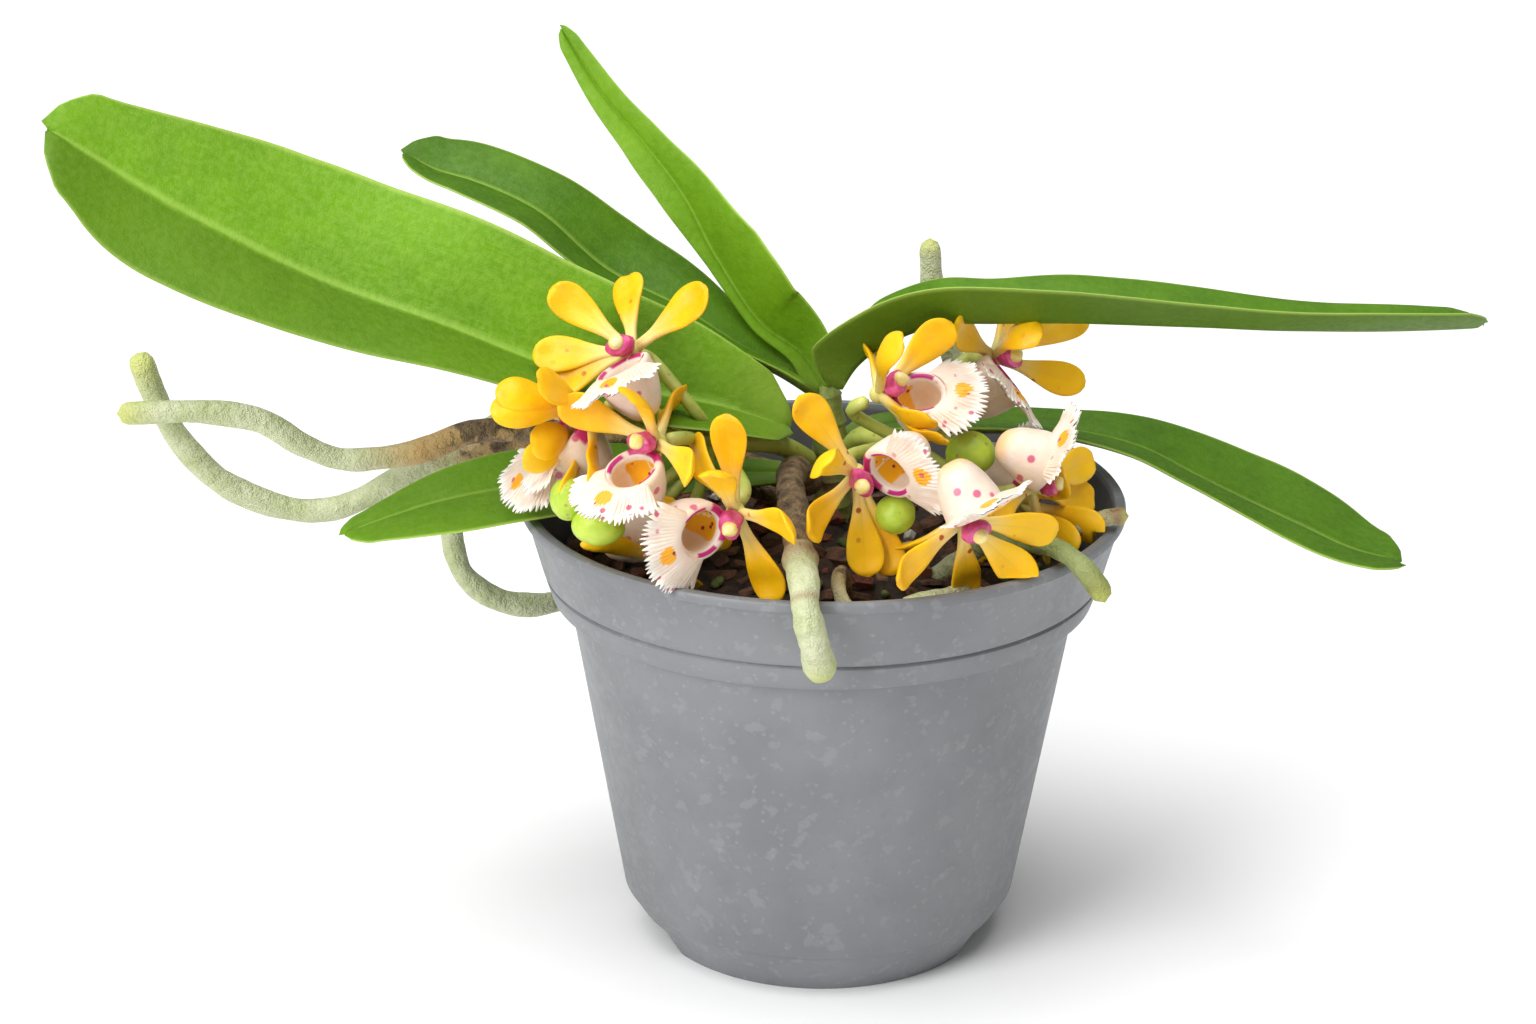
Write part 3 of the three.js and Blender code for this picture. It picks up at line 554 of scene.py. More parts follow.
def leaf_rings(leaf):
    line = Line(leaf["route"])
    facing = Vector(leaf["face"])
    widest = max(*leaf["first"], *leaf["second"])

    def place(turn, t):
        across, out = math.cos(turn), math.sin(turn)
        along, side, normal = line.axes(t, facing)
        wide = width_at(leaf["first"] if across > 0 else leaf["second"], t)
        ends = min(t / 0.012, (1 - t) / 0.02, 1.0)
        thick = LEAF_HALF_THICKNESS * mix(1, 0.6, t) * rounded(ends)
        fold = mix(*leaf["fold"], smooth(t, 0, 0.9)) * wide
        bend = math.sqrt(across * across + 0.004) - 0.063
        point = line.at(t) + side * across * wide
        groove = RIB_GROOVE * math.exp(-((across / RIB_WIDTH) ** 2)) * (0.4 if out < 0 else 1.0)
        wave = LEAF_WAVE * noise.noise(point * 0.06) * smooth(t, 0.05, 0.3)
        point += normal * (out * thick + bend * fold - groove + wave)
        lobe = widest * LOBE_DEPTH * smooth(t, 0.86, 1) * abs(across) * (1 if across > 0 else 0.2)
        point += along * lobe
        return point, Vector((across, t, math.copysign(1.0, out) if abs(out) > 0.02 else 0.0))

    return place


for cad_node, leaf in LEAVES.items():
    blade = new_shape()
    skin(blade, LEAF_SIDES, LEAF_RINGS, leaf_rings(leaf))
    hand_over(blade, cad_node + "_blade", cad_node, leaf["finish"], crease=80)

# %% [markdown]
# ## Root finish
#
# Orchid roots wear a spongy skin, silvery green when it is damp and chalky when dry, with
# brown scars where it has rubbed. The growing tip is a clear yellow-green. The pattern
# numbers give the place along each root, how old its skin is, and where a scar rings it.


# %% Mix the root finish
def root_finish():
    paint = Finish("root skin", roughness=0.62, coat=0.06, subsurface=0.05)
    along, old, ring = paint.pattern_parts()
    pale = paint.mottled(140.0, (0.4, 0.46, 0.2), (0.56, 0.6, 0.36))
    pale = paint.tint(paint.times(paint.mottle(420.0), 0.35), pale, (0.74, 0.74, 0.56))
    patches = paint.noise(paint.place, 130.0, 6.0, 0.65)
    line = paint.maths("SUBTRACT", 0.78, paint.times(old, 0.45))
    excess = paint.maths("SUBTRACT", patches, line)
    scar = paint.ramp(excess, 0.0, 0.07)
    brown = paint.mottled(600.0, (0.06, 0.033, 0.016), (0.26, 0.17, 0.08))
    worn = paint.maths("ADD", old, paint.times(patches, 0.5))
    rust = paint.ramp(worn, 0.55, 0.95, 0.0, 0.85)
    pale = paint.tint(rust, pale, (0.5, 0.28, 0.09))
    skin_colour = paint.tint(scar, pale, brown)
    skin_colour = paint.tint(ring, skin_colour, (0.3, 0.17, 0.08))
    fresh = paint.ramp(old, -0.05, -0.4, 0.0, 0.75)
    skin_colour = paint.tint(fresh, skin_colour, (0.22, 0.28, 0.05))
    tip = paint.ramp(along, 0.93, 1.0, 0.0, 0.75)
    skin_colour = paint.tint(tip, skin_colour, (0.55, 0.58, 0.12))
    paint.set("Base Color", skin_colour)
    pits = paint.mottle(900.0)
    paint.relief(paint.maths("ADD", pits, paint.times(patches, 2.2)), 0.7, 0.0004)
    return paint.made


ROOT_SKIN = root_finish()
print("root finish:", ROOT_SKIN.name)

# %% [markdown]
# ## Roots
#
# Nine roots are worth modelling: two long ones to the left, one that hangs down outside the
# pot, one that stands up, one thick one over the front rim, and four short ones. Each is
# a tube whose girth swells and pinches as it grew, with a rounded end. A ring of scar
# tissue sits on the front one, where an older tip stopped and a new one pushed on.

# %% Grow the nine roots
ROOTS = {
    "root_upper_left": {
        "route": [
            (-4, 4, 62), (-16.5, 6, 65.5), (-30, 8, 67), (-40, 9, 67), (-47.5, 8, 67),
            (-52.5, 6, 65.5), (-58, 5, 64.5), (-64.5, 4, 64.5), (-69.5, 3, 67), (-74.5, 2, 70.5),
            (-82, 1, 72), (-93, 0, 72),
        ],
        "radius": 1.6, "old": (0.85, 0.1), "turn": 0.62,
    },
    "root_lower_left": {
        "route": [
            (-4, 9, 57), (-16.5, 10, 62), (-30, 12, 64.6), (-40.5, 13, 64.2), (-48, 13, 62),
            (-54, 12, 61), (-59.5, 11, 58), (-65.5, 10, 55.5), (-71, 10, 55), (-79, 9, 58),
            (-84, 8, 62.5), (-88, 8, 68.5), (-91, 6, 78.5),
        ],
        "radius": 1.7, "old": (0.95, 0.08), "turn": 0.45,
    },
    "root_hanging_left": {
        "route": [
            (-23, 15, 51), (-28, 16.5, 60), (-34.5, 18, 65.2), (-40, 18.5, 66.2),
            (-45.5, 17.5, 64.5), (-50, 16.5, 58), (-51, 15.5, 51), (-49.5, 15, 44), (-45, 16, 39.8),
            (-39, 18.5, 38), (-31, 24, 39),
        ],
        "radius": 1.6, "old": (0.3, 0.05), "turn": 0.5,
    },
    "root_upright": {
        "route": [
            (16, 15, 50), (18.5, 16, 60), (19, 17, 67), (18, 17, 74), (16, 16, 80), (14.5, 15, 86),
            (14, 15, 92.5),
        ],
        "radius": 1.5, "old": (0.3, 0.2), "turn": 0.6,
    },
    "root_over_front": {
        "route": [
            (-1.5, -1, 63), (-4, -8, 67.5), (-4.5, -15, 68), (-4, -24, 67), (-3.5, -32, 65.6),
            (-3, -38.5, 64.4), (-2.5, -42.8, 61.5), (-1.5, -43.8, 57.5), (-0.5, -43.2, 53),
        ],
        "radius": 1.9, "old": (1.1, 0.12), "turn": 0.6,
    },
    "root_over_right": {
        "route": [
            (14, -10, 53), (20.5, -15, 60), (24.5, -20, 62.4), (28, -25, 63.8), (31, -28.5, 63.2),
            (33.5, -31, 60.8), (34.5, -32, 59),
        ],
        "radius": 1.35, "old": (0.1, -0.5), "turn": 0.3,
    },
    "root_stub_right": {
        "route": [
            (24, -9, 54), (29, -11, 59), (33.5, -13, 62), (36.5, -13.5, 63.4), (39, -14, 63.8),
        ],
        "radius": 1.15, "old": (0.8, 0.4), "turn": 0.5,
    },
    "root_dry_front": {
        "route": [
            (3, -20, 54), (2, -26, 60.5), (1.5, -31, 60.5), (2.5, -34, 59), (6.5, -34.5, 57.5),
        ],
        "radius": 0.9, "old": (0.7, 0.5), "turn": 0.5,
    },
    "root_pale_front": {
        "route": [
            (9, -33.5, 58.8), (13, -32.5, 59.4), (17, -29.5, 59), (20, -25, 56.5), (21, -21, 52),
        ],
        "radius": 1.2, "old": (0.2, 0.3), "turn": 0.5,
    },
}
KNOT_PLACE = 0.66
KNOT_HALF_LENGTH = 0.035
OLDER_TIP_PLACE = 0.8
TURN_BLEND = 0.15
ROOT_SIDES = 20
ROOT_RING_GAP = 0.7


def tube_rings(route, girth, pattern):
    line = Line(route)
    run = (Vector(route[-1]) - Vector(route[0])).normalized()
    facing = Vector((0, 0, 1)) if abs(run.z) < 0.8 else Vector((0, 1, 0))

    def place(turn, t):
        along, side, normal = line.axes(t, facing)
        out = side * math.cos(turn) + normal * math.sin(turn)
        centre = line.at(t)
        return centre + out * girth(t, centre, out), pattern(t)

    return place


def rounded_end(t, line_length, radius):
    return rounded(min(min(t, 1 - t) * line_length / (1.1 * radius), 1.0))


def root_girth(root, cad_node):
    radius, length = root["radius"], Line(root["route"]).length

    def girth(t, centre, out):
        knobs = 1 + 0.06 * math.sin(23 * t + radius * 9) + 0.04 * math.sin(61 * t)
        knobs += 0.07 * noise.noise((centre + out * 1.2) * 0.35)
        knobs += 0.03 * noise.noise((centre + out) * 1.1)
        if cad_node == "root_over_front":
            knobs += 0.16 * math.exp(-(((t - KNOT_PLACE) / 0.02) ** 2))
            younger = smooth(t, KNOT_PLACE, OLDER_TIP_PLACE)
            knobs += 0.12 * noise.noise((centre + out) * 0.9) * younger
        return radius * knobs * rounded_end(t, length, radius)

    return girth


def root_pattern(root, cad_node):
    def pattern(t):
        turned = smooth(t, root["turn"] - TURN_BLEND, root["turn"] + TURN_BLEND)
        old = mix(*root["old"], turned)
        ring = 0.0
        if cad_node == "root_over_front":
            ring = math.exp(-(((t - KNOT_PLACE) / KNOT_HALF_LENGTH) ** 2)) * 0.8
            ring += 0.7 * math.exp(-(((t - OLDER_TIP_PLACE) / 0.006) ** 2))
        if cad_node in ("root_over_right", "root_stub_right"):
            ring = 0.85 * smooth(t, 0.84, 0.95)
        return Vector((t, old, ring))

    return pattern


for cad_node, root in ROOTS.items():
    shape = new_shape()
    rings = int(Line(root["route"]).length / ROOT_RING_GAP)
    girth, pattern = root_girth(root, cad_node), root_pattern(root, cad_node)
    skin(shape, ROOT_SIDES, rings, tube_rings(root["route"], girth, pattern))
    hand_over(shape, cad_node + "_skin", cad_node, ROOT_SKIN, crease=80)

# %% [markdown]
# ## Where each bloom faces
#
# Every bloom is modelled once in a frame of its own: x across, y out of its face, z up and
# away from the lip. A matrix then turns it to its real direction, given by how far round,
# how far up, and how much it is rolled.

# %% Set out the twelve blooms
BLOOMS = {
    "flower_1": (
        (-24.4, -17, 86.4), (-32, 28, 32),
        ((33, 15, 13.4), (0, -22, 12.5), (-76, 3, 13.2), (73, 12, 13.1), (93, 6, 12.9)),
    ),
    "flower_2": (
        (-30.9, -13.5, 74.9), (-70, -2, -13),
        ((-63, 41, 13.2), (-78, 47, 13.2), (99, -3, 13), (-104, 27, 13.1), (87, -19, 13)),
    ),
    "flower_3": (
        (-29.7, -18.6, 79.2), (-95, -11, -10),
        ((-40, 40, 13.8), (-53, 44, 14.2), (-41, 14, 12.9), (-113, -6, 13.1), (115, -18, 13)),
    ),
    "flower_4": (
        (-21, -27, 78), (-39, 10, -3),
        ((80, 22, 13.4), (-16, 49, 12.9), (-93, 26, 12.9), (159, -32, 12.8), (59, -59, 13)),
    ),
    "flower_5": (
        (-11.3, -30.5, 70.2), (-14, -15, -77),
        ((79, -6, 13.5), (79, 32, 13), (5, 34, 12.8), (-78, 10, 12.8), (143, -50, 12.7)),
    ),
    "flower_6": (
        (-19.6, -18.9, 59.1), (168, 31, 106),
        ((-155, -21, 13.2), (99, -4, 13.1), (67, 14, 12.9), (-65, -14, 12.9), (-104, -2, 13)),
    ),
    "flower_7": (
        (3.6, -26.3, 73.8), (13, -4, 114),
        ((-79, 0, 13.5), (-62, 42, 13), (3, 40, 12.7), (70, 16, 13.1), (85, 12, 13.9)),
    ),
    "flower_8": (
        (6.6, -13.7, 79.9), (64, 36, 38),
        ((15, 49, 13.1), (-110, 44, 13.4), (91, 39, 13), (110, 33, 13.5), (-103, -18, 12.9)),
    ),
    "flower_9": (
        (22, 1, 80.3), (44, 14, -50),
        ((108, 17, 12.9), (-12, -27, 12.8), (92, 63, 13.1), (-25, 26, 14.1), (-70, 23, 13.3)),
    ),
    "flower_10": (
        (26, -15.6, 68.3), (66, 19, -149),
        ((54, 16, 13.2), (43, -9, 12.8), (-6, -14, 12.9), (31, 9, 13.3), (-121, -5, 13)),
    ),
    "flower_11": (
        (16.5, -32.7, 70.1), (31, -10, -161),
        ((-85, 12, 12.7), (-6, -5, 12.7), (27, 18, 13.1), (59, 11, 13.2), (-31, -48, 12.9)),
    ),
    "flower_12": (
        (25.5, -8, 63.5), (150, -6, 125),
        ((-28, -6, 12.8), (-17, -27, 12.4), (-69, -32, 12.7), (96, 2, 12.8), (156, -9, 11.9)),
    ),
}


def bloom_frame(place, facing):
    azimuth, elevation, roll = (math.radians(a) for a in facing)
    ahead = math.cos(elevation)
    forward = Vector((ahead * math.sin(azimuth), -ahead * math.cos(azimuth), math.sin(elevation)))
    level = (Vector((0, 0, 1)) - forward * forward.z).normalized()
    across = forward.cross(level)
    up = level * math.cos(roll) + across * math.sin(roll)
    side = forward.cross(up)
    turned = Matrix((side, forward, up)).transposed().to_4x4()
    return Matrix.Translation(place) @ turned


FRAMES = {name: bloom_frame(place, facing) for name, (place, facing, _) in BLOOMS.items()}
print("blooms:", len(FRAMES))

# %% [markdown]
# ## Tepal finish
#
# The five petals and sepals look alike, so they are called tepals. They are waxy and golden
# yellow, paler and greener at the foot, with a faint midline and a few small red-brown
# freckles that differ from one to the next.


# %% Mix the tepal finish
def tepal_finish():
    paint = Finish("golden tepal", roughness=0.38, coat=0.05, subsurface=0.12, specular=0.25)
    across, along, tone = paint.pattern_parts()
    spread = paint.maths("ABSOLUTE", across)
    gold = paint.mottled(170.0, (0.9, 0.42, 0.002), (0.96, 0.55, 0.006))
    gold = paint.tint(paint.times(tone, 0.5), gold, (0.98, 0.64, 0.02))
    pale = paint.ramp(along, 0.55, 0.08, 0.0, 0.85)
    gold = paint.tint(pale, gold, (0.85, 0.72, 0.3))
    green = paint.ramp(along, 0.16, 0.0, 0.0, 0.5)
    gold = paint.tint(green, gold, (0.6, 0.62, 0.16))
    before_tip = paint.ramp(along, 0.95, 0.6)
    midline = paint.times(paint.ramp(spread, 0.0, 0.14, 0.35, 0.0), before_tip)
    gold = paint.tint(midline, gold, (0.78, 0.5, 0.03))
    freckle = paint.dots(520.0, 0.24, 0.22)
    inner = paint.ramp(along, 0.85, 0.3, 0.15, 1.0)
    gold = paint.tint(paint.times(freckle, inner), gold, (0.42, 0.09, 0.02))
    paint.set("Base Color", gold)
    grain = paint.mottle(1300.0)
    paint.relief(grain, 0.25, 0.00008)
    return paint.made


TEPAL_GOLD = tepal_finish()
print("tepal finish:", TEPAL_GOLD.name)

# %% [markdown]
# ## Tepals
#
# A tepal is a spoon: narrow where it starts, widest near a rounded tip, thick and a little
# folded. It stands out from the middle of the bloom at its own angle, and leans forward by
# its own lift. A small knob in the middle joins all five to the pedicel. Where one would
# pass through the rim of the pot, it is pressed flat on top of the rim.

# %% Grow the tepals of every bloom
TEPAL_HALF_WIDTH = 2.35
TEPAL_ROOT_HALF_WIDTH = 0.75
TEPAL_HALF_THICKNESS = 0.5
TEPAL_WIDEST = 0.78
TEPAL_FOLD = 0.22
TEPAL_RIPPLE = 0.35
TEPAL_GROOVE = 0.12
TEPAL_SIDES, TEPAL_RINGS = 22, 30
HUB_RADIUS = 1.2
RIM_INSIDE = 37.6
RIM_REST = 62.1
RIM_PRESS = 0.025
grow = random.Random(11)


def tepal_rings(angle, lift, length):
    turn, rise = math.radians(angle), math.radians(lift)

    def out(reach, bend):
        flat = reach * math.cos(rise * bend)
        return flat * math.sin(turn), reach * math.sin(rise * bend), flat * math.cos(turn)

    line = Line([out(0.8, 1), out(0.35 * length, 0.9), out(0.7 * length, 0.9), out(length, 1.05)])
    leaning = math.sin(rise)
    facing = Vector((-math.sin(turn) * leaning, math.cos(rise), -math.cos(turn) * leaning))
    tone, twist, curl = grow.random(), grow.uniform(-0.12, 0.12), grow.uniform(0.3, 0.9)
    widest = TEPAL_WIDEST + grow.uniform(-0.03, 0.03)
    broad = TEPAL_HALF_WIDTH * grow.uniform(0.98, 1.06)
    shift = Vector((grow.uniform(0, 40), 0, 0))

    def place(turned, t):
        across, up = math.cos(turned), math.sin(turned)
        along, side, normal = line.axes(t, facing)
        wide = mix(TEPAL_ROOT_HALF_WIDTH, broad, smooth(t, 0.15, widest))
        if t > widest:
            wide = broad * math.sqrt(max(0.0, 1 - ((t - widest) / (1.003 - widest)) ** 2))
        ends = min(1.0, (1 - t) / 0.05)
        thick = TEPAL_HALF_THICKNESS * mix(1.35, 0.85, t) * rounded(ends)
        point = line.at(t) + side * across * wide
        bend = math.sqrt(across * across + 0.01) - 0.1
        ripple = TEPAL_RIPPLE * noise.noise(point * 0.28 + shift) * smooth(t, 0.2, 0.6)
        groove = TEPAL_GROOVE * math.exp(-((across / 0.16) ** 2)) * (1 if up > 0 else -1)
        lift_edge = bend * TEPAL_FOLD * wide + twist * across * wide * smooth(t, 0.3, 1)
        hood = curl * smooth(t, 0.7, 1) ** 2
        point += normal * (up * thick + lift_edge + ripple + hood - groove)
        return point, Vector((across, t, tone))

    return place


def rounded_ball(shape, centre, size, pattern_value=(0, 0, 0)):
    pattern = shape.verts.layers.float_vector["pattern"]
    ball = bmesh.ops.create_uvsphere(shape, u_segments=20, v_segments=12, radius=1)["verts"]
    bmesh.ops.scale(shape, vec=size, verts=ball)
    bmesh.ops.translate(shape, vec=centre, verts=ball)
    for v in ball:
        v[pattern] = Vector(pattern_value)
    return ball


for name, (_, _, tepals) in BLOOMS.items():
    shape = new_shape()
    rounded_ball(shape, (0, 0, 0), (HUB_RADIUS,) * 3, (1, 0, 0.5))
    for angle, lift, length in tepals:
        skin(shape, TEPAL_SIDES, TEPAL_RINGS, tepal_rings(angle, lift, length))
    bmesh.ops.transform(shape, matrix=FRAMES[name], verts=shape.verts)
    for v in shape.verts:
        if math.hypot(v.co.x, v.co.y) > RIM_INSIDE and v.co.z < RIM_REST:
            v.co.z = RIM_REST + RIM_PRESS * (v.co.z - RIM_REST)
    hand_over(shape, name + "_golden_tepals", name + "_tepals", TEPAL_GOLD, crease=80)

# %% [markdown]
# ## Lip finish
#
# The lip is the showpiece: a creamy white cup with pink flecks and an orange bottom, two
# magenta strokes and a brow at its mouth, and in front a white fringed fan with an
# orange-yellow patch full of dark red dots. The third pattern number says which surface a
# point is on: 0 for the outside of the cup, 1 for its inside and 2 for the fan.


# %% Mix the lip finish
def cup_colour(paint, cream, round_cup, height, kind, unrest):
    bottom = paint.ramp(height, 0.26, 0.02, 0.0, 0.5)
    cup = paint.tint(bottom, cream, (0.93, 0.46, 0.03))
    flecks = paint.times(paint.dots(470.0, 0.3, 0.42), paint.ramp(height, 0.1, 0.55, 0.45, 0.9))
    cup = paint.tint(flecks, cup, (0.62, 0.07, 0.2))

    past_outside = paint.ramp(kind, 0.45, 0.55)
    from_front = paint.maths("ABSOLUTE", round_cup)
    ragged = paint.maths("MULTIPLY_ADD", unrest, 0.14, from_front)
    rim_height = paint.maths("MULTIPLY_ADD", unrest, 0.05, height)
    on_rim = paint.times(paint.ramp(rim_height, 0.965, 0.985), past_outside)
    stroke = paint.times(paint.ramp(ragged, 0.36, 0.4), paint.ramp(ragged, 0.72, 0.68))
    cup = paint.tint(paint.times(on_rim, stroke), cup, (0.5, 0.012, 0.2))
    brow = paint.times(paint.ramp(rim_height, 0.74, 0.78), paint.ramp(ragged, 0.77, 0.82))
    cup = paint.tint(brow, cup, (0.55, 0.02, 0.16))

    throat = paint.tint(paint.ramp(height, 0.95, 0.3), (0.93, 0.85, 0.76), (0.86, 0.7, 0.55))
    pool = paint.times(paint.ramp(ragged, 0.69, 0.73), paint.ramp(rim_height, 0.88, 0.85))
    orange = paint.tint(paint.dots(900.0, 0.3, 0.5), (0.97, 0.5, 0.01), (0.3, 0.01, 0.03))
    throat = paint.tint(pool, throat, orange)
    inside = paint.times(past_outside, paint.ramp(kind, 1.55, 1.45))
    within = paint.times(inside, paint.ramp(height, 0.985, 0.95))
    return paint.tint(within, cup, throat)


def fan_colour(paint, cream, across, along, unrest):
    aside = paint.times(across, 5.6)
    ahead = paint.times(paint.maths("SUBTRACT", along, 0.47), 4.8)
    around = paint.maths("ADD", paint.times(aside, aside), paint.times(ahead, ahead))
    patch = paint.ramp(paint.maths("MULTIPLY_ADD", unrest, 0.6, around), 1.4, 1.2)
    fan = paint.tint(paint.ramp(along, 0.7, 0.95, 0.0, 0.8), cream, (0.93, 0.9, 0.84))
    fan = paint.tint(patch, fan, (0.97, 0.42, 0.008))
    dark = paint.times(paint.dots(900.0, 0.3, 0.5), patch)
    fan = paint.tint(dark, fan, (0.3, 0.02, 0.03))
    far = paint.times(paint.dots(620.0, 0.3, 0.36), paint.ramp(along, 0.1, 0.7, 0.5, 0.9))
    return paint.tint(far, fan, (0.55, 0.05, 0.16))


def lip_finish():
    paint = Finish("painted lip", roughness=0.42, coat=0.12, subsurface=0.15)
    first, second, kind = paint.pattern_parts()
    unrest = paint.noise(paint.place, 420.0)
    cream = paint.mottled(200.0, (0.82, 0.67, 0.52), (0.87, 0.76, 0.65))
    cream = paint.tint(paint.times(paint.mottle(330.0), 0.22), cream, (0.88, 0.52, 0.5))
    cup = cup_colour(paint, cream, first, second, kind, unrest)
    fan = fan_colour(paint, cream, first, second, unrest)
    paint.set("Base Color", paint.tint(paint.ramp(kind, 1.45, 1.55), cup, fan))
    paint.relief(paint.mottle(1500.0), 0.3, 0.0001)
    return paint.made


LIP_PAINT = lip_finish()
print("lip finish:", LIP_PAINT.name)

# %% [markdown]
# ## Lips
#
# The cup is a turned wall that goes up the outside, over a rounded rim and down inside.
# The fan is a flat ring rolled the same way: its upper and under sides run out together
# from the front of the rim, as a thick cushion that thins to a ragged edge of many teeth.

# %% Model the lip of every bloom
POUCH_DEPTH = 7.2
MOUTH_PLACE = Vector((0, 4.1, -3.2))
MOUTH_TILT = math.radians(52.6)
FAN_ROOT = 3.2
FAN_REACH = 8.9
FAN_HALF_WIDTH = 6.9
FAN_SPREAD = math.radians(79)
FAN_SINK = 0.55
FAN_DROOP = 0.4
FAN_TEETH = 28
FAN_ROOT_HALF = 0.72
FAN_EDGE_HALF = 0.14
FAN_RINGS = 22
STEPS_PER_TOOTH = 12
TOOTH_DEPTH = (0.5, 1.6)
CUP_SIDES, CUP_RINGS = 48, 56
CUP_DENT = 0.03
CUP_PINCH = 0.05
CUP_FRONT_DIP = 0.3
CUP_WALL = [
    (0.0, -7.2), (1.0, -7.1), (1.75, -6.7), (2.4, -5.9), (2.95, -4.8), (3.35, -3.7), (3.65, -2.6),
    (3.84, -1.6), (3.93, -0.8), (3.9, -0.25), (3.68, 0.03), (3.35, 0.12), (3.05, 0.03),
    (2.82, -0.25), (2.74, -0.8), (2.84, -1.8), (2.8, -2.8), (2.55, -3.8), (2.1, -4.8), (1.4, -5.6),
    (0.7, -6.0), (0.0, -6.1),
]
CUP_RIM_POINT = 11
MOUTH_TURN = Matrix.Translation(MOUTH_PLACE) @ Matrix.Rotation(MOUTH_TILT - math.pi / 2, 4, "X")


def cup_skin(shape, draw):
    wall = [Vector((r, 0, h)) for r, h in CUP_WALL]
    line = Line(wall)
    rim_reach = sum((b - a).length for a, b in zip(wall[:CUP_RIM_POINT], wall[1:CUP_RIM_POINT + 1]))
    rim_at = rim_reach / line.length
    shift = Vector((draw.uniform(0, 60), 0, 0))

    def place(turn, t):
        at = line.at(t)
        r, h = at.x, at.z
        inside = 1.0 if t > rim_at else 0.0
        aside, ahead = math.sin(turn), -math.cos(turn)
        dent = 1 + CUP_DENT * noise.noise(Vector((-ahead, aside, h * 0.4)) * 1.6 + shift)
        pinch = 1 - CUP_PINCH * abs(aside) * smooth(h, -4, 0)
        front = max(0.0, ahead) ** 2 * smooth(h, -1.8, 0.1)
        point = Vector((r * aside * dent * pinch, r * ahead * dent, h - CUP_FRONT_DIP * front))
        return point, Vector((turn / math.pi - 1, (h + POUCH_DEPTH) / POUCH_DEPTH, inside))

    made = skin(shape, CUP_SIDES, CUP_RINGS, place)
    bmesh.ops.transform(shape, matrix=MOUTH_TURN, verts=made)


def fan_skin(shape, draw):
    depths = [draw.uniform(*TOOTH_DEPTH) for _ in range(FAN_TEETH + 1)]
    ruffle = draw.uniform(0, 6)
    cushion = draw.uniform(0.3, 0.5)

    def place(turn, t):
        share = turn / math.pi if turn < math.pi else 2 - turn / math.pi
        across = 1 - 2 * share
        up = (1 if turn < math.pi else -1) * math.sqrt(max(0.0, 1 - across**8))
        spread = FAN_SPREAD * across
        tooth = share * FAN_TEETH + 0.25 * math.sin(5 * share + ruffle)
        valley = 1 - 2 * abs(tooth - round(tooth))
        notch = depths[min(max(int(round(tooth)), 0), FAN_TEETH)] * valley**1.2
        edge_x = (FAN_HALF_WIDTH - 0.8 * notch) * math.sin(spread)
        edge_front = (FAN_REACH - notch) * max(0.0, math.cos(spread)) ** 0.55
        x = mix(FAN_ROOT * math.sin(spread), edge_x, t)
        front = mix(FAN_ROOT * math.cos(spread), edge_front, t)
        rounding = math.sqrt(min(1.0, (1 - t) / 0.1, t / 0.04 + 0.01))
        half = mix(FAN_ROOT_HALF, FAN_EDGE_HALF, smooth(t, 0.05, 0.8)) * rounding
        wave = 0.3 * math.sin(8 * spread + ruffle) * t**2
        wave += 0.1 * math.sin(21 * spread + ruffle) * t**3
        swell = 0.0
        if up > 0:
            swell = cushion * math.exp(-((x / 2.6) ** 2)) * math.sin(math.pi * min(t, 0.9))
        droop = FAN_DROOP * t * (x / FAN_HALF_WIDTH) ** 2
        height = up * half - FAN_SINK - droop + wave + swell
        return Vector((x, front, height)), Vector((x / 7, t, 2))

    made = skin(shape, FAN_TEETH * STEPS_PER_TOOTH, FAN_RINGS, place)
    bmesh.ops.transform(shape, matrix=MOUTH_TURN, verts=made)


for name in BLOOMS:
    draw = random.Random("lip of " + name)
    shape = new_shape()
    cup_skin(shape, draw)
    fan_skin(shape, draw)
    bmesh.ops.transform(shape, matrix=FRAMES[name], verts=shape.verts)
    hand_over(shape, name + "_painted_lip", name + "_lip", LIP_PAINT, crease=60)

# %% [markdown]
# ## Columns
#
# A short magenta post stands above the cup. It carries the anther, a pale yellow cap with
# a small beak that points forward. Both are one piece, so the pattern numbers say which
# part is post and which is cap.


# %% Model the columns
def column_finish():
    paint = Finish("magenta column", roughness=0.34, coat=0.2, subsurface=0.15)
    cap, _, _ = paint.pattern_parts()
    post = paint.mottled(420.0, (0.55, 0.025, 0.16), (0.78, 0.12, 0.32))
    anther = paint.mottled(500.0, (0.85, 0.66, 0.16), (0.93, 0.84, 0.42))
    whole = paint.tint(paint.ramp(cap, 0.4, 0.6), post, anther)
    paint.set("Base Color", whole)
    return paint.made


COLUMN_MAGENTA = column_finish()
POST_START, POST_END = 1.6, 3.9
POST_RADIUS = (1.32, 1.12)
POST_SIDES, POST_RINGS = 26, 18
ANTHER_PLACE = (0, 3.98, 0.3)
ANTHER_SIZE = (1.02, 1.0, 1.0)
BEAK_START = 4.2


def post_ring(turn, t):
    girth = mix(*POST_RADIUS, t) * (1 + 0.1 * math.cos(2 * turn))
    girth *= 1 + 0.5 * math.cos(turn) ** 4 * smooth(t, 0.1, 0.55)
    girth *= 1 + 0.3 * max(0.0, -math.sin(turn)) ** 2 * smooth(t, 0.2, 0.7)
    girth *= rounded(min(t / 0.08, (1 - t) / 0.08, 1.0))
    crest = 1 + 0.22 * max(0.0, math.sin(turn)) ** 6
    height = 0.1 + girth * crest * math.sin(turn)
    return Vector((girth * math.cos(turn), mix(POST_START, POST_END, t), height)), Vector((0, t, 0))


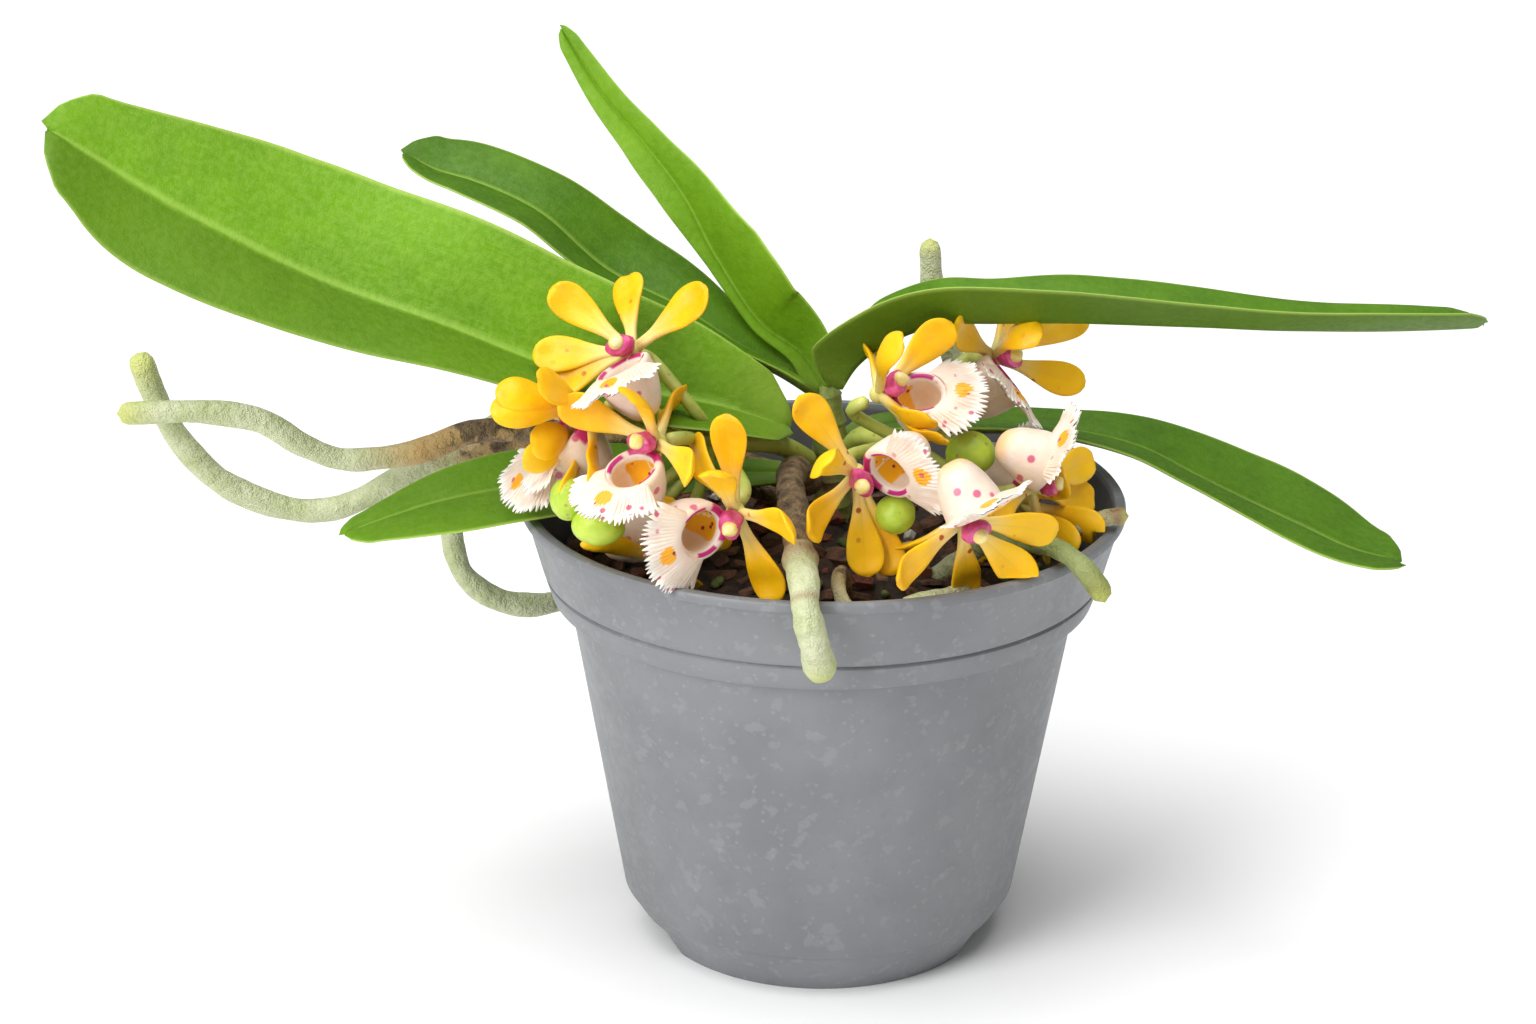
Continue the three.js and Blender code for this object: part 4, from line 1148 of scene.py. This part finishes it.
for name in BLOOMS:
    shape = new_shape()
    skin(shape, POST_SIDES, POST_RINGS, post_ring)
    for v in rounded_ball(shape, ANTHER_PLACE, ANTHER_SIZE, (1, 0, 0)):
        forward = max(0.0, (v.co.y - BEAK_START) / 0.8)
        v.co.z -= 0.35 * forward**2
        v.co.x *= 1 - 0.35 * forward
        if v.co.z > 0.6:
            v.co.z -= 0.14 * math.exp(-((v.co.x / 0.16) ** 2))
    bmesh.ops.transform(shape, matrix=FRAMES[name], verts=shape.verts)
    cad_node = name + "_column"
    hand_over(shape, name + "_magenta_column", cad_node, COLUMN_MAGENTA, crease=60)

# %% [markdown]
# ## Sprays
#
# Each spray is a short peduncle that branches at once into pedicels, one to the back of
# every bloom, and two more that end in closed buds. Pedicels thicken just behind the bloom,
# because that part is the ovary.


# %% Grow the two sprays
def stalk_finish():
    paint = Finish("green stalk", roughness=0.45, coat=0.1, subsurface=0.1)
    _, along, bud = paint.pattern_parts()
    green = paint.mottled(160.0, (0.33, 0.42, 0.06), (0.52, 0.56, 0.12))
    green = paint.tint(paint.ramp(along, 0.7, 1.0, 0.0, 0.6), green, (0.68, 0.66, 0.2))
    lime = paint.mottled(260.0, (0.36, 0.55, 0.03), (0.55, 0.68, 0.07))
    green = paint.tint(paint.ramp(bud, 0.4, 0.6), green, lime)
    flecks = paint.dots(800.0, 0.25, 0.3)
    green = paint.tint(paint.times(flecks, 0.5), green, (0.33, 0.12, 0.06))
    paint.set("Base Color", green)
    return paint.made


STALK_GREEN = stalk_finish()
PEDUNCLE_RADIUS = 1.3
PEDICEL_RADIUS = 0.8
OVARY_START, OVARY_END = 4.5, 1.58
OVARY_SWELL = 0.12
STALK_SIDES = 16
BUD_SIDES, BUD_RINGS = 30, 20
STALK_RING_GAP = 0.6
VIA = {"flower_1": (-16.5, -17, 78.5)}
SPRAYS = {
    "raceme_left": {
        "peduncle": [(-1.5, 0, 66), (-6, -5, 70), (-14, -11, 72.5)],
        "blooms": range(1, 7),
        "buds": [
            ([(-21, -13.5, 65), (-29, -17, 62.6), (-32.3, -23.5, 69.2)], (2.5, 2.4, 2.9)),
            ([(-29, -17, 62.6), (-28.4, -26, 66.5)], (3.5, 2.5, 2.6)),
        ],
    },
    "raceme_right": {
        "peduncle": [(3, 1, 67), (5, -4, 71), (10, -9, 72)],
        "blooms": range(7, 13),
        "buds": [
            ([(14.2, -12, 73.8), (18.5, -15, 72.5)], (3.3, 2.8, 2.9)),
            ([(9.2, -18, 71.7), (8.5, -27, 68.5)], (2.6, 2.5, 2.6)),
        ],
    },
}


def stalk_tube(shape, route, radius, swollen=0.0):
    length = Line(route).length

    def girth(t, centre, out):
        ovary = 1 + swollen * smooth(t, 0.45, 0.85) * (1 - 0.5 * smooth(t, 0.93, 1))
        knobs = 1 + 0.05 * noise.noise((centre + out) * 0.5)
        return radius * ovary * knobs * rounded_end(t, length, radius)

    def pattern(t):
        return Vector((0, t if swollen else 0.2, 0))

    rings = max(14, int(length / STALK_RING_GAP))
    skin(shape, STALK_SIDES, rings, tube_rings(route, girth, pattern))


def bud_skin(shape, centre, way, size):
    turned = way.to_track_quat("Z", "Y").to_matrix().to_4x4()

    def place(turn, t):
        height = -math.cos(math.pi * t)
        girth = math.sin(math.pi * t) * (1 - 0.12 * height)
        seams = 1 - 0.09 * math.exp(-((math.sin(1.5 * turn) / 0.22) ** 2)) * smooth(t, 0.2, 0.8)
        point = Vector((math.cos(turn) * girth * seams, math.sin(turn) * girth * seams, height))
        return point * 0.97, Vector((0, t, 1))

    made = skin(shape, BUD_SIDES, BUD_RINGS, place)
    shaped = Matrix.Translation(centre) @ Matrix.Diagonal((*size, 1)) @ turned
    bmesh.ops.transform(shape, matrix=shaped, verts=made)


for cad_node, spray in SPRAYS.items():
    shape = new_shape()
    junction = spray["peduncle"][-1]
    stalk_tube(shape, spray["peduncle"], PEDUNCLE_RADIUS)
    for number in spray["blooms"]:
        name = f"flower_{number}"
        behind = [FRAMES[name] @ Vector((0, -reach, 0)) for reach in (OVARY_START, OVARY_END)]
        via = [VIA[name]] if name in VIA else []
        stalk_tube(shape, [junction, *via, *behind], PEDICEL_RADIUS, swollen=OVARY_SWELL)
    for route, size in spray["buds"]:
        stalk_tube(shape, [junction, *route], PEDICEL_RADIUS)
        way = (Vector(route[-1]) - Vector(([junction] + route)[-2])).normalized()
        bud_skin(shape, route[-1], way, size)
    hand_over(shape, cad_node + "_stalks", cad_node, STALK_GREEN, crease=60)

# %% [markdown]
# ## Stem
#
# The stem is short and mostly hidden. Old leaves leave papery sheaths and rings on it, so
# its girth steps in and out, and brown dry skin alternates with green.


# %% Grow the stem
def stem_finish():
    paint = Finish("sheathed stem", roughness=0.6, subsurface=0.05)
    _, along, _ = paint.pattern_parts()
    green = paint.mottled(150.0, (0.2, 0.28, 0.05), (0.4, 0.48, 0.12))
    straw = paint.mottled(320.0, (0.23, 0.13, 0.06), (0.55, 0.42, 0.24))
    dry = paint.ramp(paint.noise(paint.place, 110.0), 0.45, 0.6)
    skin_colour = paint.tint(paint.times(dry, paint.ramp(along, 1.0, 0.75)), green, straw)
    paint.set("Base Color", skin_colour)
    paint.relief(paint.mottle(700.0), 0.5, 0.0003)
    return paint.made


STEM_SKIN = stem_finish()
STEM_ROUTE = [(2, 6, 40), (1.5, 5, 54), (1, 3.5, 66), (0, 3, 76)]
STEM_LENGTH = 36.5
STEM_RADIUS = (3.0, 2.1)
STEM_SIDES, STEM_RINGS = 40, 150
SHEATHS = 9.5


def stem_girth(t, centre, out):
    sheath = (t * SHEATHS) % 1.0
    flare = 0.22 * (1 - sheath) ** 2 if t < 0.97 else 0
    rough = 0.08 * noise.noise((centre + out * 2) * 0.6)
    return mix(*STEM_RADIUS, t) * (0.95 + flare * 0.6 + rough) * rounded_end(t, STEM_LENGTH, 2.4)


shape = new_shape()
stem_rings = tube_rings(STEM_ROUTE, stem_girth, lambda t: Vector((0, t, 0)))
skin(shape, STEM_SIDES, STEM_RINGS, stem_rings)
hand_over(shape, "sheathed_stem", "plant_stem", STEM_SKIN, crease=70)

# %% [markdown]
# ## Potting mix
#
# An orchid stands in coarse bark. The core is turned to fit inside the wall, with a low
# mound on top. Chips of bark, lava gravel, pale stones and scraps of moss then lie on it,
# each a bevelled block or a rough lump with its own turn and its own tone. A fixed seed
# draws them, so every run strews the same bed.


# %% Fill the pot
def mix_finish():
    paint = Finish("bark mix", roughness=0.85)
    tone, kind, _ = paint.pattern_parts()
    grain = paint.mottle(420.0)
    earth = paint.tint(grain, (0.012, 0.007, 0.004), (0.06, 0.032, 0.018))
    bark = paint.tint(grain, (0.035, 0.015, 0.008), (0.17, 0.08, 0.04))
    bark = paint.tint(paint.ramp(tone, 0.6, 1.0, 0.0, 0.6), bark, (0.3, 0.15, 0.07))
    lava = paint.tint(grain, (0.1, 0.025, 0.015), (0.28, 0.09, 0.05))
    stone = paint.tint(grain, (0.3, 0.27, 0.22), (0.62, 0.58, 0.5))
    moss = paint.tint(grain, (0.05, 0.08, 0.015), (0.18, 0.22, 0.05))
    whole = paint.tint(paint.ramp(kind, 0.4, 0.6), earth, bark)
    whole = paint.tint(paint.ramp(kind, 1.4, 1.6), whole, lava)
    whole = paint.tint(paint.ramp(kind, 2.4, 2.6), whole, stone)
    whole = paint.tint(paint.ramp(kind, 3.4, 3.6), whole, moss)
    paint.set("Base Color", whole)
    rough = paint.noise(paint.place, 900.0, 5.0)
    paint.relief(rough, 0.7, 0.0006)
    return paint.made


BARK_MIX = mix_finish()
MIX_EDGE = 51.5
MIX_CROWN = 57.0
MIX_SHELL = [
    (0, 1.23), (8, 1.23), (12.1, 5.63), (24.24, 5.63), (25.57, 7.03), (32.47, 48.0), (34.77, 49.4),
    (35.3, 51.3),
]
CORE_SIDES = 96
CHIPS = 300
CHIP_ROUGHNESS = 0.22
CHIP_BEVEL = 0.16
CHIP_TILT = 0.6
CHIP_TURN = 2.4
STREWN_OUT_TO, KEPT_WITHIN = 34.2, 34.6
EARTH, BARK, LAVA, STONE, MOSS = range(5)
strew = random.Random(5)


def mix_height(x, y):
    mound = 1 - math.hypot(x, y) / 40
    ripple = 0.5 * math.sin(x * 0.9 + 1) * math.cos(y * 0.8)
    return mix(MIX_EDGE, MIX_CROWN, mound) + ripple


def spun(shape, profile, steps):
    rim = [shape.verts.new((r, 0, z)) for r, z in profile]
    edges = [shape.edges.new(pair) for pair in zip(rim, rim[1:])]
    turn = {"cent": (0, 0, 0), "axis": (0, 0, 1), "angle": 2 * math.pi, "steps": steps}
    bmesh.ops.spin(shape, geom=rim + edges, use_merge=True, **turn)
    bmesh.ops.remove_doubles(shape, verts=shape.verts, dist=0.001)


def mark(shape, verts, value):
    pattern = shape.verts.layers.float_vector["pattern"]
    for v in verts:
        v[pattern] = Vector(value)


def rough_way(place):
    return Vector([noise.noise(place + Vector((0, 0, 31.7 * k))) for k in range(3)])


def strewn(shape, verts, spot, size, lift):
    turned = Matrix.Rotation(strew.uniform(0, 6.28), 4, "Z")
    for axis in "XY":
        turned = turned @ Matrix.Rotation(strew.uniform(-CHIP_TILT, CHIP_TILT), 4, axis)
    x, y = spot
    rest = Matrix.Translation((x, y, mix_height(x, y) + lift))
    bmesh.ops.transform(shape, matrix=rest @ turned @ Matrix.Diagonal((*size, 1)), verts=verts)
    for v in verts:
        v.co += CHIP_ROUGHNESS * min(size) * rough_way(v.co * 0.7)


def chip_size(big, *spans):
    return [big * strew.uniform(*span) for span in spans]


core = new_shape()
top = [(r, MIX_EDGE) for r in range(35, 0, -1)] + [(0, MIX_EDGE)]
spun(core, MIX_SHELL + top, CORE_SIDES)
for v in core.verts:
    if v.co.z > MIX_EDGE - 0.01:
        v.co.z = mix_height(v.co.x, v.co.y) + 0.5 * noise.noise(v.co * 0.5)
mark(core, core.verts, (0.5, EARTH, 0))

for k in range(CHIPS):
    radius = STREWN_OUT_TO * math.sqrt((k + 0.5) / CHIPS)
    spot = (radius * math.cos(k * CHIP_TURN), radius * math.sin(k * CHIP_TURN))
    kind = strew.choices((BARK, LAVA, STONE, MOSS), (62, 17, 9, 12))[0]
    if kind == BARK:
        big = strew.uniform(0.9, 2.1)
        chip = bmesh.ops.create_cube(core, size=1)["verts"]
        edges = list(dict.fromkeys(edge for v in chip for edge in v.link_edges))
        how = {"segments": 1, "affect": "EDGES", "profile": 0.5, "material": -1}
        made = bmesh.ops.bevel(core, geom=edges, offset=CHIP_BEVEL, **how)
        chip = list(dict.fromkeys(v for face in made["faces"] for v in face.verts))
        size = chip_size(big, (1.6, 2.8), (1.0, 1.6), (0.35, 0.8))
    else:
        rounds = 2 if kind == MOSS else 1
        chip = bmesh.ops.create_icosphere(core, subdivisions=rounds, radius=0.5)["verts"]
        big = strew.uniform(1.6, 3.4) if kind == LAVA else strew.uniform(1.1, 2.4)
        size = chip_size(big, (1, 1.4), (0.8, 1.1), (0.6, 0.9))
    reach = KEPT_WITHIN - max(size) / 2
    if radius > reach:
        spot = tuple(c * reach / radius for c in spot)
    strewn(core, chip, spot, size, strew.uniform(0.0, 0.5) * min(size))
    mark(core, chip, (strew.random(), kind, 0))
hand_over(core, "bark_filling", "potting_mix", BARK_MIX, crease=35)

# %% [markdown]
# ## Pot finish
#
# The pot is pressed from recycled plastic, so its grey is marbled with paler and darker
# flakes. The inside wall above the ledge is darkened as painted shade, stopping just below
# the lip, so the lip stays lighter, and splashes of water left faint marks.

# %% Mix the pot finish
LEDGE_HEIGHT = 0.0487
LEDGE_RADIUS = 0.0357
LIP_SLOPE = 0.292
LIP_TOP = 0.0616


def pot_finish():
    paint = Finish("grey nursery plastic", roughness=0.5, coat=0.05)
    grey = paint.mottled(38.0, (0.168, 0.175, 0.187), (0.215, 0.222, 0.235))
    flakes = paint.noise(paint.place, 420.0, 4.0, 0.6)
    grey = paint.tint(paint.ramp(flakes, 0.56, 0.64, 0.0, 0.36), grey, (0.3, 0.306, 0.315))
    grey = paint.tint(paint.ramp(flakes, 0.42, 0.3, 0.0, 0.4), grey, (0.17, 0.175, 0.185))
    fine = paint.dots(900.0, 0.3, 0.25)
    grey = paint.tint(paint.times(fine, 0.14), grey, (0.5, 0.5, 0.5))
    # Painted shade: the inside wall above the ledge is darkened, fading out just below the lip top.
    x, y, z = paint.node("ShaderNodeSeparateXYZ", {"Vector": paint.place}).outputs
    off_axis = paint.maths("SQRT", paint.maths("ADD", paint.times(x, x), paint.times(y, y)))
    above_ledge = paint.maths("SUBTRACT", z, LEDGE_HEIGHT)
    wall = paint.maths("MULTIPLY_ADD", above_ledge, LIP_SLOPE, LEDGE_RADIUS)
    inner = paint.times(
        paint.ramp(paint.maths("SUBTRACT", wall, off_axis), 0.0, 0.0003),
        paint.ramp(z, LEDGE_HEIGHT - 0.0002, LEDGE_HEIGHT + 0.0003),
    )
    inner = paint.times(inner, paint.ramp(z, LIP_TOP - 0.0004, LIP_TOP - 0.0011, 0.0, 0.75))
    grey = paint.tint(inner, grey, (0.055, 0.05, 0.045))
    paint.set("Base Color", grey)
    paint.set("Roughness", paint.ramp(flakes, 0.3, 0.7, 0.42, 0.6))
    paint.relief(flakes, 0.25, 0.0001)
    return paint.made


POT_GREY = pot_finish()
print("pot finish:", POT_GREY.name)

# %% [markdown]
# ## Pot
#
# One profile, from the middle of the underside out, up the wall, over the lip and down the
# inside again, is spun round into a single closed wall. Cutters then take out the three
# notches in the foot and the six drain holes.

# %% Spin and cut the pot
POT_WALL = [
    (0, 0), (9, 0), (13, 4.4), (21.9, 4.4), (22, 0.2), (22.2, 0), (22.75, 0), (22.95, 0.25),
    (26.25, 6.0), (26.3, 6.2), (26.6, 6.4), (26.75, 6.6), (33.85, 48.4), (33.95, 48.62),
    (35.9, 48.7), (36.12, 48.9), (36.96, 51.4), (36.95, 51.65), (36.65, 52.0), (37.18, 52.35),
    (37.32, 52.6), (39.32, 59.95), (39.5, 60.15), (39.85, 60.25), (40, 60.45), (39.95, 61.2),
    (39.75, 61.5), (39.4, 61.6), (38.9, 61.6), (38.55, 61.5), (38.4, 61.2), (35.3, 48.9),
    (33.1, 47.9), (32.95, 47.6), (26.2, 6.4), (24.6, 5.4), (12.6, 5.3), (8.6, 0.9), (0, 0.9),
]
FOOT_RING = 24.9
NOTCH_SIZE = (12, 12.5, 8)
NOTCH_TURNS = (-70, 70, 180)
DRAIN_HOLES = 6
DRAIN_RADIUS = 2.2
DRAIN_CIRCLE = 18.5
DRAIN_HEIGHT, DRAIN_DEPTH = 4.4, 4
POT_SIDES = 144


def cutter(name, build):
    shape = bmesh.new()
    build(shape)
    return stand(name, mesh_from(shape, name, MM))


def foot_notches(shape):
    sized = Matrix.Translation((FOOT_RING, 0, 0)) @ Matrix.Diagonal((*NOTCH_SIZE, 1))
    for from_front in NOTCH_TURNS:
        block = bmesh.ops.create_cube(shape, size=1)["verts"]
        turned = Matrix.Rotation(math.radians(from_front - 90), 4, "Z")
        bmesh.ops.transform(shape, matrix=turned @ sized, verts=block)


def drain_holes(shape):
    drill_size = {"radius1": DRAIN_RADIUS, "radius2": DRAIN_RADIUS, "depth": DRAIN_DEPTH}
    for k in range(DRAIN_HOLES):
        drill = bmesh.ops.create_cone(shape, cap_ends=True, segments=24, **drill_size)["verts"]
        angle = 2 * math.pi * k / DRAIN_HOLES
        place = (DRAIN_CIRCLE * math.cos(angle), DRAIN_CIRCLE * math.sin(angle), DRAIN_HEIGHT)
        bmesh.ops.translate(shape, vec=place, verts=drill)


shape = new_shape()
spun(shape, POT_WALL, POT_SIDES)
bmesh.ops.recalc_face_normals(shape, faces=shape.faces)
whole_pot = stand("whole pot", mesh_from(shape, "whole pot", MM))
for name, build in (("notch cutter", foot_notches), ("drain drill", drain_holes)):
    cut = whole_pot.modifiers.new(name, "BOOLEAN")
    cut.operation = "DIFFERENCE"
    cut.solver = "EXACT"
    cut.object = cutter(name, build)
seen = bpy.context.evaluated_depsgraph_get()
finished = bmesh.new()
finished.from_mesh(whole_pot.evaluated_get(seen).to_mesh())
for held in [whole_pot] + [cut.object for cut in whole_pot.modifiers]:
    bpy.data.objects.remove(held)
bmesh.ops.scale(finished, vec=(1 / MM,) * 3, verts=finished.verts)
hand_over(finished, "nursery_pot", "pot", POT_GREY, crease=32)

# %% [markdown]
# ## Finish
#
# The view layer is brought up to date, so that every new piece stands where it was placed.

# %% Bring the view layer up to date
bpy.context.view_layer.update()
